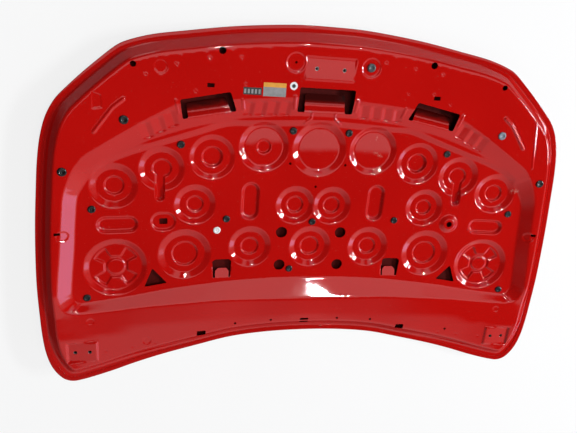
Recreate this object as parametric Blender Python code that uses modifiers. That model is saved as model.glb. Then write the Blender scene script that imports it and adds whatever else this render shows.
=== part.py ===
"""Steel car bonnet lying on its outer skin, seen from the inside: a hemmed outer panel,
a stamped inner panel with rows of round cones, mastic pads between the two, seat plates
with weld nuts, push clips and hole plugs. X runs across the car, +Y is the front edge of
the bonnet, +Z is up. Tables are in drawn millimetres, which WIDTH and DEPTH scale to the
real size, and everything is built in metres."""

import math

import bmesh
import bpy
import numpy as np
from mathutils import Matrix, Vector
from mathutils.geometry import delaunay_2d_cdt

MM = 0.001

# Real size across the car and from front to rear
WIDTH = 1454.0
DEPTH = 976.0

# Crown of the outer skin: height = CROWN_X * x^2 + CROWN_Y * (y - LOW_Y)^2, in metres
CROWN_X = 0.114
CROWN_Y = 0.098
LOW_Y = 0.0

# Sheet thicknesses and the hem
SKIN_T = 0.8
INNER_T = 0.8
HEM_GAP = 0.4
HEM_REACH = 14.0
HEM_ROUND = 1.6
FLANGE_W = 15.5
SLOPE_W = 25.5
GAP = 0.3

# Levels of the inner panel's visible side above the outer face of the skin
FRAME_LEVEL = 34.0
LEDGE_LEVEL = 21.0
FIELD_LEVEL = 14.5
CONE_LEVEL = 7.5
DIMPLE_LEVEL = 4.2
CHANNEL_LEVEL = 25.0
REAR_FALL = 6.0
BOSS_LEVEL = 21.0
RAISED_CONE_LEVEL = 9.5
DEEP_DIMPLE_LEVEL = 3.0
STAR_LEVEL = 3.4
STAR_DISC_LEVEL = 6.2
TONGUE_LEVEL = 9.0

# Where the rear channel rises to the frame, and where it falls behind its crease
RISE_FROM = -385.0
RISE_OVER = 65.0
FALL_FROM = -419.0
FALL_SKEW = 0.045
FALL_OVER = 70.0
# Where the rear corners get a wider hem slope: along y, along x, and by how much
CORNER_Y = (440.0, 100.0)
CORNER_X = (300.0, 250.0)
CORNER_FOOT = 11.0
CORNER_TOP = 2.0

# Small hardware
CLIP_HEAD_R = 10.0
CLIP_HEAD_H = 3.4
CLIP_STEM_R = 3.2
CLIP_STEM_L = 9.0
PLUG_HEAD_R = 11.0
PLUG_HEAD_H = 2.4
PLUG_STEM_R = 7.6
PLUG_STEM_L = 4.5
PLATE_T = 1.5
NUT_R = 8.5
NUT_H = 7.0
BOLT_HOLE_R = 5.2
PAD_EDGE = 7.0
PAD_SHARE = 0.32

# Half outline of the skin, from the front middle round to the rear middle
OUTLINE = [(0, 389), (75, 388), (150, 382.5), (245, 372), (355, 354.5), (440, 339), (494, 322), (514, 312),
           (562, 273), (600, 239), (634, 206), (652, 187), (668, 163), (681, 136), (694, 92), (704, 35),
           (713, -50), (720, -130), (725, -220), (727, -300), (725, -380), (722, -440), (716, -490),
           (706, -528), (692, -556), (673, -578), (652, -587), (628, -586), (555, -571), (490, -553),
           (421, -536), (312, -513.5), (219, -495), (120, -486), (0, -483)]
# Upper edge of the wall round the recessed field
WALL_TOP = [(0, 215), (78, 214), (150, 209), (221, 203), (300, 195), (379, 184), (430, 157), (478, 128),
            (556, 78), (600, 48), (624, 14), (639, -20), (648, -50), (655, -110), (664, -200), (674, -290),
            (675, -335), (660, -366), (630, -374), (560, -374), (464, -369), (349, -367), (246, -364),
            (167, -366), (0, -368)]
# Lower edge of that wall
WALL_FOOT = [(0, 141), (100, 137), (200, 134), (250, 131), (320, 108), (420, 76), (480, 56), (530, 36),
             (575, 8), (604, -30), (616, -54), (624, -110), (631, -200), (640, -290), (641, -330),
             (628, -352), (600, -351), (500, -342), (400, -328), (300, -318), (240, -312), (90, -305),
             (0, -304)]
# The narrow ledge half way down the front wall, outer and inner edge
LEDGE_OUT = [(0, 166), (92, 164), (160, 158), (222, 152), (330, 127), (453, 88), (529, 56), (580, 22)]
LEDGE_IN = [(0, 155), (92, 151), (200, 146), (255, 143), (328, 119), (420, 88), (490, 65), (536, 43)]
# Slight crease along the rear channel
CREASE = [(0, -419), (110, -420.5), (223, -421), (362, -430), (454, -431), (526, -439), (600, -447)]

# Round cones on both sides: x, y, outer radius, floor radius, dimple radius or 0
PAIRED_CONES = [
    (532.0, -30.0, 61.0, 43.0, 24.5),
    (414.5, 14.6, 60.0, 43.0, 24.5),
    (287.0, 47.0, 61.0, 43.0, 27.0),
    (152.0, 77.4, 69.0, 53.0, 0.0),
    (329.0, -83.5, 57.0, 40.0, 22.5),
    (53.2, -85.0, 57.0, 40.0, 24.0),
    (354.0, -225.8, 74.0, 54.0, 35.0),
    (174.4, -208.3, 62.0, 44.0, 25.0),
    (533.0, -255.0, 82.0, 66.0, 0.0),
]
# The pair with a raised floor and a deep dimple, and the pair with a crossed recess
DEEP_CONE_X = 287.0
STAR_CONE_X = 533.0
# One dimple that only the left side has
LEFT_DIMPLE = (-152.0, 77.4, 19.0)
# Cones on the centre line
CENTRE_CONES = [(0.0, 75.4, 78.0, 58.0, 0.0), (0.0, -209.0, 63.0, 45.0, 27.5)]
CONE_SIDES = 14
DIMPLE_SIDES = 10
# Narrow recess that runs out of one cone towards the rear: x, y, half length, half width
NECK = (419.5, -28.0, 44.0, 12.0)

# Recessed long holes without a dimple: x, y, half length, half width, turned upright
PILLS = [(180.0, -74.0, 55.0, 26.0, True), (526.0, -134.6, 53.0, 24.0, False)]
# Openings in front of the field and the tongue that slopes down into each, rear edge at both ends
WINDOW_SIDE = [(231, 171), (249, 219), (371, 195), (364, 146)]
TONGUE_SIDE = [(245, 168), (259, 203), (357, 183), (350, 149)]
WINDOW_MID = [(-74, 176), (-74, 240), (74, 240), (74, 176)]
TONGUE_MID = [(-54, 176), (-54, 222), (54, 222), (54, 176)]
TONGUE_REACH = 6.0
# Star recess of the two big cones: long reach on the diagonals, short reach between
STAR_LONG = 60.0
STAR_SHORT = 33.0
STAR_DISC = 25.0
DISC_RAMP = 6.0

# Flat seats for the hinges and for the latch: x, y, half length in x, half length in y
HINGE_SEAT = (622.0, -492.0, 34.0, 26.0)
LATCH_SEAT = (0.0, 288.0, 60.0, 24.0)
SEAT_RAMP = 8.0
SEAT_EDGE = 2.0

# Plain round holes on both sides: x, y, radius, sides
PAIRED_HOLES = [(86.3, -165.4, 16.0, 12), (86.2, -264.9, 16.0, 12), (478.0, 273.0, 7.0, 8),
                (273.0, 316.0, 8.7, 8), (77.7, 34.5, 3.5, 6), (207.0, -441.0, 3.5, 6),
                (101.7, -435.5, 3.5, 6)]
SINGLE_HOLES = [(0.0, -29.6, 3.5, 6), (-90.3, 299.8, 3.2, 6), (453.0, -473.0, 3.5, 6),
                (410.7, -129.4, 8.2, 12)]
# Four sided holes on both sides: x, y, half length in x, half length in y
PAIRED_SLOTS = [(304.0, -467.0, 12.5, 8.0), (298.0, 233.0, 9.0, 5.0), (666.0, -147.0, 7.0, 3.6)]
SINGLE_SLOTS = [(0.0, -436.5, 12.5, 3.4), (0.0, -448.0, 12.5, 3.4), (-410.7, -129.4, 10.5, 8.0)]
TRIANGLE = [(439.5, -262.7), (401.0, -308.0), (461.0, -316.0)]
TAB_HOLE = [(227, -300), (225, -250), (232, -244), (270, -244), (278, -250), (275, -300)]
TAB = [(231, -300), (231, -281), (238, -273), (261, -273), (269, -281), (269, -300)]
TAB_DROP = 6.0
OVAL = (-410.7, -129.4, 34.0, 27.0)
BOSS = (410.7, -129.4, 29.0, 16.0)

# Shallow round impressions: x, y, radius, depth below the panel around them
IMPRESSIONS = [(-416.0, 270.5, 14.0, 0.7), (-454.0, -476.0, 10.0, 0.7), (-90.3, 299.8, 21.0, 1.5),
               (106.0, 299.0, 21.0, 1.5)]
# Straight grooves and beads on both sides: ends, half width, depth (a bead is negative)
GROOVES = [((100, 202), (104, 166), 7.0, 2.4), ((132, 201), (136, 165), 7.0, 2.4),
           ((164, 199), (168, 163), 7.0, 2.4), ((196, 196), (200, 162), 7.0, 2.4),
           ((394, 166), (382, 128), 7.0, 2.4), ((424, 151), (412, 113), 7.0, 2.4),
           ((454, 136), (442, 98), 7.0, 2.4),
           ((501, 191), (526, 171), 5.0, -2.0), ((530, 166), (570, 112), 5.0, -2.0),
           ((591, 188), (612, 57), 4.0, -1.2)]

# Push clips for the sound mat and the plugs
PAIRED_CLIPS = [(367.4, 79.3), (77.0, 124.0), (586.3, -90.3), (243.6, -124.4), (606.4, -335.7)]
SINGLE_CLIPS = [(0.0, -133.2), (-56.2, -277.3)]
WHITE_PLUG = (-268.3, -157.0)
GREY_PLUGS = [("grey_plug_middle", 106.0, 299.0), ("grey_plug_right", 502.8, 143.9)]
DARK_PLUGS = [("dark_plug_left", -502.0, 142.0), ("side_plug_left", -645.0, 13.2),
              ("side_plug_right", 645.0, 13.2)]

Y_MID = (max(p[1] for p in OUTLINE) + min(p[1] for p in OUTLINE)) / 2
# Size that the tables are drawn at
DRAWN_WIDTH = 2 * max(p[0] for p in OUTLINE)
DRAWN_DEPTH = max(p[1] for p in OUTLINE) - min(p[1] for p in OUTLINE)
RING_STEP = 80.0
GRID_STEP = 84.0


def plan(x, y):
    """World x and y in metres of a drawn place."""
    return x * MM * WIDTH / DRAWN_WIDTH, (y - Y_MID) * MM * DEPTH / DRAWN_DEPTH


def crown(x, y):
    """Height of the skin's outer face in millimetres at a drawn place."""
    across, along = plan(x, y)
    return (CROWN_X * across ** 2 + CROWN_Y * (along - LOW_Y) ** 2) / MM


def crown_normal(x, y):
    """Upward direction square to the crown at a drawn place."""
    across, along = plan(x, y)
    return Vector((-2 * CROWN_X * across, -2 * CROWN_Y * (along - LOW_Y), 1.0)).normalized()


def world(x, y, level):
    """World place in metres of a drawn place raised by a level above the skin."""
    return Vector((*plan(x, y), (crown(x, y) + level) * MM))


def spaced(points, step, closed=True):
    """Adds points along the long sides, bulged a hair outward so that none are in line."""
    points = [np.array(p, float) for p in points]
    out = []
    count = len(points) if closed else len(points) - 1
    for i in range(count):
        a, b = points[i], points[(i + 1) % len(points)]
        n = max(1, int(math.ceil(np.linalg.norm(b - a) / step)))
        side = np.array([b[1] - a[1], a[0] - b[0]]) / np.linalg.norm(b - a)
        for k in range(n):
            t = k / n
            out.append(a + (b - a) * t + side * 0.6 * t * (1 - t))
    if not closed:
        out.append(points[-1])
    return np.array(out)


def both_sides(half, closed=True):
    """Mirrors a half line about the centre, anticlockwise when closed."""
    right = [(x, y) for x, y in half]
    left = [(-x, y) for x, y in half if abs(x) > 1e-6]
    if closed:
        loop = right + left[::-1]
        return loop[::-1]
    return left[::-1] + right


def turned(loop):
    """The same loop run anticlockwise."""
    a = np.array(loop, float)
    area = np.sum(a[:, 0] * np.roll(a[:, 1], -1) - np.roll(a[:, 0], -1) * a[:, 1])
    return a if area > 0 else a[::-1]


def inset(loop, widths):
    """Moves each point of an anticlockwise loop inward."""
    a = np.array(loop, float)
    widths = np.broadcast_to(np.array(widths, float), (len(a),))
    before = a - np.roll(a, 1, axis=0)
    after = np.roll(a, -1, axis=0) - a
    before /= np.linalg.norm(before, axis=1)[:, None]
    after /= np.linalg.norm(after, axis=1)[:, None]
    n = np.stack([-(before + after)[:, 1], (before + after)[:, 0]], 1)
    n /= np.linalg.norm(n, axis=1)[:, None]
    across = np.stack([-after[:, 1], after[:, 0]], 1)
    stretch = 1.0 / np.clip(np.sum(n * across, axis=1), 0.75, 1.0)
    return a + n * (widths * stretch)[:, None]


def ring(x, y, radius, sides, phase=0.0):
    """A regular ring of points, anticlockwise."""
    t = phase + 2 * math.pi * np.arange(sides) / sides
    return np.stack([x + radius * np.cos(t), y + radius * np.sin(t)], 1)


def box_ring(x, y, half_x, half_y):
    """Four corners, anticlockwise."""
    return np.array([(x - half_x, y - half_y), (x + half_x, y - half_y), (x + half_x, y + half_y),
                     (x - half_x, y + half_y)], float)


def pill_ring(x, y, half_long, half_wide, upright, sides=6):
    """A long hole with round ends, anticlockwise."""
    t = np.linspace(-math.pi / 2, math.pi / 2, sides)
    right = np.stack([(half_long - half_wide) + half_wide * np.cos(t), half_wide * np.sin(t)], 1)
    both = np.concatenate([right, -right])
    if upright:
        both = np.stack([-both[:, 1], both[:, 0]], 1)
    return both + np.array([x, y])


def star_ring(x, y, long_reach, short_reach):
    """The crossed recess of the big cones: four wide lobes on the diagonals."""
    out = []
    for quarter in range(4):
        base = quarter * math.pi / 2
        for turn, reach in ((-0.36, short_reach), (0.36, short_reach), (0.43, long_reach), (0.785, long_reach),
                            (1.14, long_reach)):
            out.append((x + reach * math.cos(base + turn), y + reach * math.sin(base + turn)))
    return np.array(out)


def mirrored(loop):
    """The loop on the other side of the centre line, still anticlockwise."""
    a = np.array(loop, float) * np.array([-1.0, 1.0])
    return a[::-1]


def inside(loop, pts):
    """Which points lie inside a loop."""
    a = np.asarray(loop, float)
    b = np.roll(a, -1, axis=0)
    x, y = pts[:, 0][:, None], pts[:, 1][:, None]
    cross = (a[:, 1] > y) != (b[:, 1] > y)
    with np.errstate(divide="ignore", invalid="ignore"):
        at = (b[:, 0] - a[:, 0]) * (y - a[:, 1]) / (b[:, 1] - a[:, 1]) + a[:, 0]
    return (np.sum(cross & (x < at), axis=1) % 2) == 1


def away(loop, pts, closed=True):
    """Distance of points from a line of sides."""
    a = np.asarray(loop, float)
    b = np.roll(a, -1, axis=0)
    if not closed:
        a, b = a[:-1], b[:-1]
    d = b - a
    rel = pts[:, None, :] - a[None]
    t = np.clip(np.sum(rel * d, axis=2) / np.sum(d * d, axis=1), 0, 1)
    return np.linalg.norm(rel - t[..., None] * d, axis=2).min(axis=1)


def triangles(points, lines):
    """Triangles over points that keep every given line as an edge."""
    edges = []
    pts = []
    for line, closed in lines:
        start = len(pts)
        pts += [Vector(p) for p in line]
        count = len(line)
        for i in range(count if closed else count - 1):
            edges.append((start + i, start + (i + 1) % count))
    pts += [Vector(p) for p in points]
    done = delaunay_2d_cdt(pts, edges, [], 0, 1e-4)
    xy = np.array([(v.x, v.y) for v in done[0]])
    tri = np.array([f for f in done[2] if len(f) == 3])
    return xy, tri


def frame_level(x, y):
    """Level of the raised frame: full height in front and at the sides, lower along the rear."""
    rise = np.clip((y - RISE_FROM) / RISE_OVER, 0, 1)
    fall = np.clip((FALL_FROM - FALL_SKEW * np.abs(x) - y) / FALL_OVER, 0, 1)
    return CHANNEL_LEVEL + (FRAME_LEVEL - CHANNEL_LEVEL) * rise - REAR_FALL * fall


def base_lines():
    """Break lines of the panel before any cone is pressed: points, level at each, closed or not."""
    out = turned(spaced(both_sides(OUTLINE), RING_STEP))
    rear = np.clip((-out[:, 1] - CORNER_Y[0]) / CORNER_Y[1], 0, 1)
    rear = rear * np.clip((np.abs(out[:, 0]) - CORNER_X[0]) / CORNER_X[1], 0, 1)
    edge = inset(out, HEM_ROUND + HEM_GAP + SKIN_T)
    foot = inset(out, FLANGE_W + CORNER_FOOT * rear)
    top = inset(out, FLANGE_W + SLOPE_W + CORNER_TOP * rear)
    wall_top = turned(spaced(both_sides(WALL_TOP), RING_STEP))
    wall_foot = turned(spaced(both_sides(WALL_FOOT), RING_STEP))
    flange = SKIN_T + HEM_GAP + INNER_T
    lines = [
        (edge, np.full(len(edge), flange), True),
        (foot, np.full(len(foot), flange), True),
        (top, frame_level(top[:, 0], top[:, 1]), True),
        (wall_top, frame_level(wall_top[:, 0], wall_top[:, 1]), True),
        (wall_foot, np.full(len(wall_foot), FIELD_LEVEL), True),
    ]
    for half in (LEDGE_OUT, LEDGE_IN):
        line = spaced(both_sides(half, False), RING_STEP, False)
        lines.append((line, np.full(len(line), LEDGE_LEVEL), False))
    line = spaced(both_sides(CREASE, False), RING_STEP, False)
    lines.append((line, frame_level(line[:, 0], line[:, 1]), False))
    return out, lines


def base_surface(lines):
    """A function giving the level of the plain panel at any place."""
    xy, tri = triangles([], [(p, c) for p, _, c in lines])
    known = np.concatenate([p for p, _, _ in lines])
    level = np.concatenate([v for _, v, _ in lines])
    near = np.array([np.argmin(np.sum((known - q) ** 2, axis=1)) for q in xy])
    at = level[near]
    a, b, c = xy[tri[:, 0]], xy[tri[:, 1]], xy[tri[:, 2]]
    det = (b[:, 0] - a[:, 0]) * (c[:, 1] - a[:, 1]) - (c[:, 0] - a[:, 0]) * (b[:, 1] - a[:, 1])
    good = np.abs(det) > 1e-9
    a, b, c, det, tri = a[good], b[good], c[good], det[good], tri[good]

    def height(pts):
        px, py = pts[:, 0][:, None], pts[:, 1][:, None]
        w1 = ((px - a[:, 0]) * (c[:, 1] - a[:, 1]) - (c[:, 0] - a[:, 0]) * (py - a[:, 1])) / det
        w2 = ((b[:, 0] - a[:, 0]) * (py - a[:, 1]) - (px - a[:, 0]) * (b[:, 1] - a[:, 1])) / det
        w0 = 1 - w1 - w2
        best = np.argmax(np.minimum(np.minimum(w0, w1), w2), axis=1)
        rows = np.arange(len(pts))
        weights = np.stack([w0[rows, best], w1[rows, best], w2[rows, best]], 1)
        return np.sum(at[tri[best]] * weights, axis=1)

    return height


def presses():
    """Every pressed shape: outer loop, floor loop, how its floor is set, and the value for that."""
    pairs = []
    for x, y, outer, floor, dimple in PAIRED_CONES + CENTRE_CONES:
        paired = x > 1
        level = RAISED_CONE_LEVEL if x == DEEP_CONE_X else CONE_LEVEL
        pairs.append((ring(x, y, outer, CONE_SIDES), ring(x, y, floor, CONE_SIDES), "level", level, paired))
        if dimple > 0:
            level = DEEP_DIMPLE_LEVEL if x == DEEP_CONE_X else DIMPLE_LEVEL
            pairs.append((ring(x, y, dimple, DIMPLE_SIDES), ring(x, y, dimple - 3.5, DIMPLE_SIDES),
                          "level", level, paired))
        elif x == STAR_CONE_X:
            pairs.append((star_ring(x, y, STAR_LONG, STAR_SHORT),
                          star_ring(x, y, STAR_LONG - 4.0, STAR_SHORT - 4.0), "level", STAR_LEVEL, True))
            pairs.append((ring(x, y, STAR_DISC, DIMPLE_SIDES), ring(x, y, STAR_DISC - DISC_RAMP, DIMPLE_SIDES),
                          "level", STAR_DISC_LEVEL, True))
    x, y, dimple = LEFT_DIMPLE
    pairs.append((ring(x, y, dimple, DIMPLE_SIDES), ring(x, y, dimple - 3.5, DIMPLE_SIDES),
                  "level", DIMPLE_LEVEL, False))
    for x, y, half_long, half_wide, upright in PILLS:
        pairs.append((pill_ring(x, y, half_long, half_wide, upright),
                      pill_ring(x, y, half_long - 8.0, half_wide - 8.0, upright), "level", CONE_LEVEL, True))
    x, y, half_long, half_wide = NECK
    pairs.append((pill_ring(x, y, half_long, half_wide, True, 4),
                  pill_ring(x, y, half_long - 3.0, half_wide - 3.0, True, 4), "level", DIMPLE_LEVEL, True))
    for a, b, half, depth in GROOVES:
        pairs.append((bar_ring(a, b, half), bar_ring(a, b, half * 0.3), "sunk", depth, True))
    x, y, half_x, half_y = OVAL
    pairs.append((pill_ring(x, y, half_x, half_y, False), pill_ring(x, y, half_x - 6.0, half_y - 6.0, False),
                  "level", FIELD_LEVEL - 4.0, False))
    x, y, outer_r, top_r = BOSS
    pairs.append((ring(x, y, outer_r, 14), ring(x, y, top_r, 14), "level", BOSS_LEVEL, False))
    for x, y, r, depth in IMPRESSIONS:
        pairs.append((ring(x, y, r, DIMPLE_SIDES), ring(x, y, r - 3.0, DIMPLE_SIDES), "sunk", depth, False))
    for (x, y, half_x, half_y), paired in ((HINGE_SEAT, True), (LATCH_SEAT, False)):
        pairs.append((box_ring(x, y, half_x + SEAT_RAMP, half_y + SEAT_RAMP), box_ring(x, y, half_x, half_y),
                      "flat", seat_height(x, y), paired))
    out = []
    for outer, floor, kind, value, paired in pairs:
        out.append((outer, floor, kind, value))
        if paired:
            out.append((mirrored(outer), mirrored(floor), kind, value))
    return out


def bar_ring(a, b, half):
    """A slim six sided loop round a straight line, anticlockwise."""
    a, b = np.array(a, float), np.array(b, float)
    along = (b - a) / np.linalg.norm(b - a)
    side = np.array([-along[1], along[0]]) * half
    tip = along * half
    return turned([a - tip, a - side, b - side, b + tip, b + side, a + side])


def tongues():
    """Each tongue: its four corners with the rear edge at both ends, and the level it slopes down to."""
    mid = [np.array(p, float) for p in TONGUE_MID]
    side = [np.array(p, float) for p in TONGUE_SIDE]
    other = [p * np.array([-1.0, 1.0]) for p in side[::-1]]
    out = [(mid, TONGUE_LEVEL), (side, TONGUE_LEVEL), (other, TONGUE_LEVEL)]
    front = max(y for _, y in TAB)
    tab = [np.array(p, float) for p in (TAB[0], (TAB[0][0], front), (TAB[-1][0], front), TAB[-1])]
    out.append((tab, FIELD_LEVEL - TAB_DROP))
    out.append(([p * np.array([-1.0, 1.0]) for p in tab[::-1]], FIELD_LEVEL - TAB_DROP))
    return out


def tongue_shape(corners):
    """The tongue's region with a margin over the gap round it, its rear line and its length."""
    a, b, c, d = corners
    across = (d - a) / np.linalg.norm(d - a)
    ahead = np.array([-across[1], across[0]])
    if ahead @ (b - a) < 0:
        ahead = -ahead
    reach = max((b - a) @ ahead, (c - d) @ ahead)
    wide = [a - across * TONGUE_REACH, b + (ahead - across) * TONGUE_REACH, c + (ahead + across) * TONGUE_REACH,
            d + across * TONGUE_REACH]
    return turned(wide), a, ahead, reach


def seat_height(x, y):
    """World height in millimetres of a flat seat."""
    level = frame_level(np.array([x]), np.array([y]))[0]
    return crown(x, y) + level


def pressed(base, shapes, pts):
    """Level of the finished panel at any place."""
    level = base(pts)
    for outer, floor, kind, value in shapes:
        low, high = outer.min(axis=0) - 1, outer.max(axis=0) + 1
        near = np.where(np.all((pts >= low) & (pts <= high), axis=1))[0]
        if not len(near):
            continue
        q = pts[near]
        in_outer = inside(outer, q) | (away(outer, q) < 1e-6)
        in_floor = inside(floor, q) | (away(floor, q) < 1e-6)
        d_in, d_out = away(floor, q), away(outer, q)
        t = np.where(in_floor, 0.0, d_in / (d_in + d_out + 1e-12))
        t = np.where(in_outer, t, 1.0)
        if kind == "level":
            target = value
        elif kind == "flat":
            target = value - crown(q[:, 0], q[:, 1])
        else:
            target = level[near] - value
        level[near] = target * (1 - t) + level[near] * t
    for corners, to_level in tongues():
        region, start, ahead, reach = tongue_shape(corners)
        near = np.where(inside(region, pts))[0]
        far = (pts[near] - start) @ ahead
        ahead_of = far > 1e-3
        near, far = near[ahead_of], far[ahead_of]
        at_rear = base(pts[near] - np.outer(far, ahead))
        level[near] = at_rear + (to_level - at_rear) * np.clip(far / reach, 0, 1.2)
    return level


def hole_loops():
    """Every hole through the inner panel."""
    loops = []
    for x, y, r, n in PAIRED_HOLES:
        loops += [ring(x, y, r, n), ring(-x, y, r, n)]
    for x, y, r, n in SINGLE_HOLES:
        loops.append(ring(x, y, r, n))
    for x, y, a, b in PAIRED_SLOTS:
        loops += [box_ring(x, y, a, b), box_ring(-x, y, a, b)]
    for x, y, a, b in SINGLE_SLOTS:
        loops.append(box_ring(x, y, a, b))
    loops += [turned(TRIANGLE), mirrored(turned(TRIANGLE))]
    loops.append(turned(WINDOW_MID + TONGUE_MID[::-1]))
    for mouth, tab in ((WINDOW_SIDE, TONGUE_SIDE), (TAB_HOLE, TAB)):
        shape = turned(mouth + tab[::-1])
        loops += [shape, mirrored(shape)]
    for x, y in PAIRED_CLIPS:
        loops += [ring(x, y, CLIP_STEM_R + 1.0, 8), ring(-x, y, CLIP_STEM_R + 1.0, 8)]
    for x, y in SINGLE_CLIPS + [WHITE_PLUG]:
        loops.append(ring(x, y, CLIP_STEM_R + 1.0, 8))
    for _, x, y in GREY_PLUGS + DARK_PLUGS:
        loops.append(ring(x, y, PLUG_STEM_R + 0.9, 10))
    for x, y in bolt_places():
        loops.append(ring(x, y, BOLT_HOLE_R, 8))
    return loops


def bolt_places():
    """Plan places of the bolt holes in the seats."""
    hx, hy, half_x, _ = HINGE_SEAT
    lx, ly, latch_x, _ = LATCH_SEAT
    out = [(side * hx + k * half_x * 0.55, hy) for side in (-1, 1) for k in (-1, 1)]
    out += [(lx + k * latch_x * 0.6, ly) for k in (-1, 1)]
    return out


def grid(loop, step):
    """Plain inner points so that wide flat areas follow the crown."""
    low, high = np.min(loop, axis=0), np.max(loop, axis=0)
    xs = np.arange(low[0] + step / 2, high[0], step)
    ys = np.arange(low[1] + step / 2, high[1], step)
    pts = np.array([(x + (step / 4 if j % 2 else -step / 4), y) for j, y in enumerate(ys) for x in xs])
    return pts[inside(loop, pts)]


def new_object(name, mesh, material, smooth=True, angle=35.0):
    """Links a mesh as an object with its own material."""
    obj = bpy.data.objects.new(name, mesh)
    COLLECTION.objects.link(obj)
    mesh.materials.append(material)
    if smooth:
        mesh.shade_smooth()
        mesh.set_sharp_from_angle(angle=math.radians(angle))
    return obj


def paint(name, colour, rough, metal=0.0, coat=0.0):
    """One plain surface material."""
    mat = bpy.data.materials.new(name)
    mat.use_nodes = True
    shader = mat.node_tree.nodes["Principled BSDF"]
    shader.inputs["Base Color"].default_value = (*colour, 1.0)
    shader.inputs["Roughness"].default_value = rough
    shader.inputs["Metallic"].default_value = metal
    shader.inputs["Coat Weight"].default_value = coat
    return mat


def thick_sheet(name, xy, tri, top, thickness):
    """A pressed sheet: the top surface, drawn straight down by the extrude tool for its thickness."""
    mesh = bpy.data.meshes.new(name)
    bm = bmesh.new()
    used = sorted(set(int(i) for f in tri for i in f))
    verts = {i: bm.verts.new(world(xy[i][0], xy[i][1], top[i])) for i in used}
    for f in tri:
        bm.faces.new([verts[int(i)] for i in f])
    bm.normal_update()
    done = bmesh.ops.extrude_face_region(bm, geom=bm.faces[:], use_keep_orig=True)
    moved = [g for g in done["geom"] if isinstance(g, bmesh.types.BMVert)]
    bmesh.ops.translate(bm, verts=moved, vec=Vector((0, 0, -thickness * MM)))
    bmesh.ops.recalc_face_normals(bm, faces=bm.faces[:])
    bm.to_mesh(mesh)
    bm.free()
    return mesh


def inner_panel(material):
    """The stamped inner panel with its cones, dimples, pockets, seats and holes."""
    out, lines = base_lines()
    base = base_surface(lines)
    shapes = presses()
    holes = hole_loops()
    kept = []
    for points, _, closed in lines:
        mask = np.zeros(len(points), bool)
        for outer, _, kind, _ in shapes:
            if kind != "sunk":
                mask |= inside(inset(turned(outer), -3.0), points)
        for corners, _ in tongues():
            mask |= inside(tongue_shape(corners)[0], points)
        for hole in holes:
            mask |= inside(hole, points) | (away(hole, points) < 4.0)
        mask = ~mask
        if mask.all():
            kept.append((points, closed))
            continue
        n = len(points)
        run = []
        start = int(np.argmin(mask)) if closed else 0
        for k in range(n + (1 if closed else 0)):
            i = (start + k) % n
            if mask[i]:
                run.append(points[i])
            elif run:
                kept.append((np.array(run), False))
                run = []
        if run:
            kept.append((np.array(run), False))
    rings = []
    for outer, floor, _, _ in shapes:
        rings += [(outer, True), (floor, True)]
    rings += [(hole, True) for hole in holes]
    rings += [(np.array([corners[0], corners[-1]]), False) for corners, _ in tongues()]
    extra = grid(lines[0][0], GRID_STEP)
    clear = np.ones(len(extra), bool)
    for line, closed in kept + rings:
        if len(line) > 1:
            clear &= away(line, extra, closed) > 17.0
    singles = [tuple(l[0]) for l, _ in kept if len(l) == 1]
    kept = [(l, c) for l, c in kept if len(l) > 1]
    xy, tri = triangles(list(extra[clear]) + singles, kept + rings)
    middle = xy[tri].mean(axis=1)
    keep = inside(lines[0][0], middle)
    for hole in holes:
        keep &= ~inside(hole, middle)
    tri = tri[keep]
    level = pressed(base, shapes, xy)
    mesh = thick_sheet("inner_panel", xy, tri, level, INNER_T)
    return new_object("inner_panel", mesh, material, angle=22.0)


def outer_panel(material):
    """The crowned skin with its edge folded over the inner panel's flange."""
    out = turned(spaced(both_sides(OUTLINE), RING_STEP))
    r = HEM_ROUND
    top = SKIN_T * 2 + HEM_GAP * 2 + INNER_T
    t = SKIN_T
    section = [(r, 0.0), (0.0, top * 0.3), (0.0, top * 0.7), (r, top), (HEM_REACH, top),
               (HEM_REACH, top - t), (r + 0.5, top - t), (r + 0.5, t)]
    rings = [(inset(out, max(d, 1e-3)), level) for d, level in section]
    mesh = bpy.data.meshes.new("outer_panel")
    bm = bmesh.new()
    rows = [[bm.verts.new(world(p[0], p[1], level)) for p in loop] for loop, level in rings]
    count = len(out)
    for low, high in zip(rows[:-1], rows[1:]):
        for i in range(count):
            j = (i + 1) % count
            bm.faces.new((low[i], low[j], high[j], high[i]))
    for row, (loop, level), upward in ((rows[0], rings[0], False), (rows[-1], rings[-1], True)):
        line = inset(loop, FLANGE_W)
        extra = grid(loop, GRID_STEP)
        extra = extra[(away(loop, extra) > GRID_STEP * 0.4) & (away(line, extra) > GRID_STEP * 0.22)]
        xy, tri = triangles(list(extra), [(loop, True), (line, True)])
        middle = xy[tri].mean(axis=1)
        tri = tri[inside(loop, middle)]
        near = {}
        for i, p in enumerate(xy):
            d = np.sum((loop - p) ** 2, axis=1)
            k = int(np.argmin(d))
            near[i] = row[k] if d[k] < 1e-6 else bm.verts.new(world(p[0], p[1], level))
        for f in tri:
            face = [near[int(i)] for i in f]
            bm.faces.new(face if upward else face[::-1])
    loose = [v for v in bm.verts if not v.link_faces]
    bmesh.ops.delete(bm, geom=loose, context="VERTS")
    bmesh.ops.recalc_face_normals(bm, faces=bm.faces[:])
    bm.to_mesh(mesh)
    bm.free()
    return new_object("outer_panel", mesh, material, angle=40.0)


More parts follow.
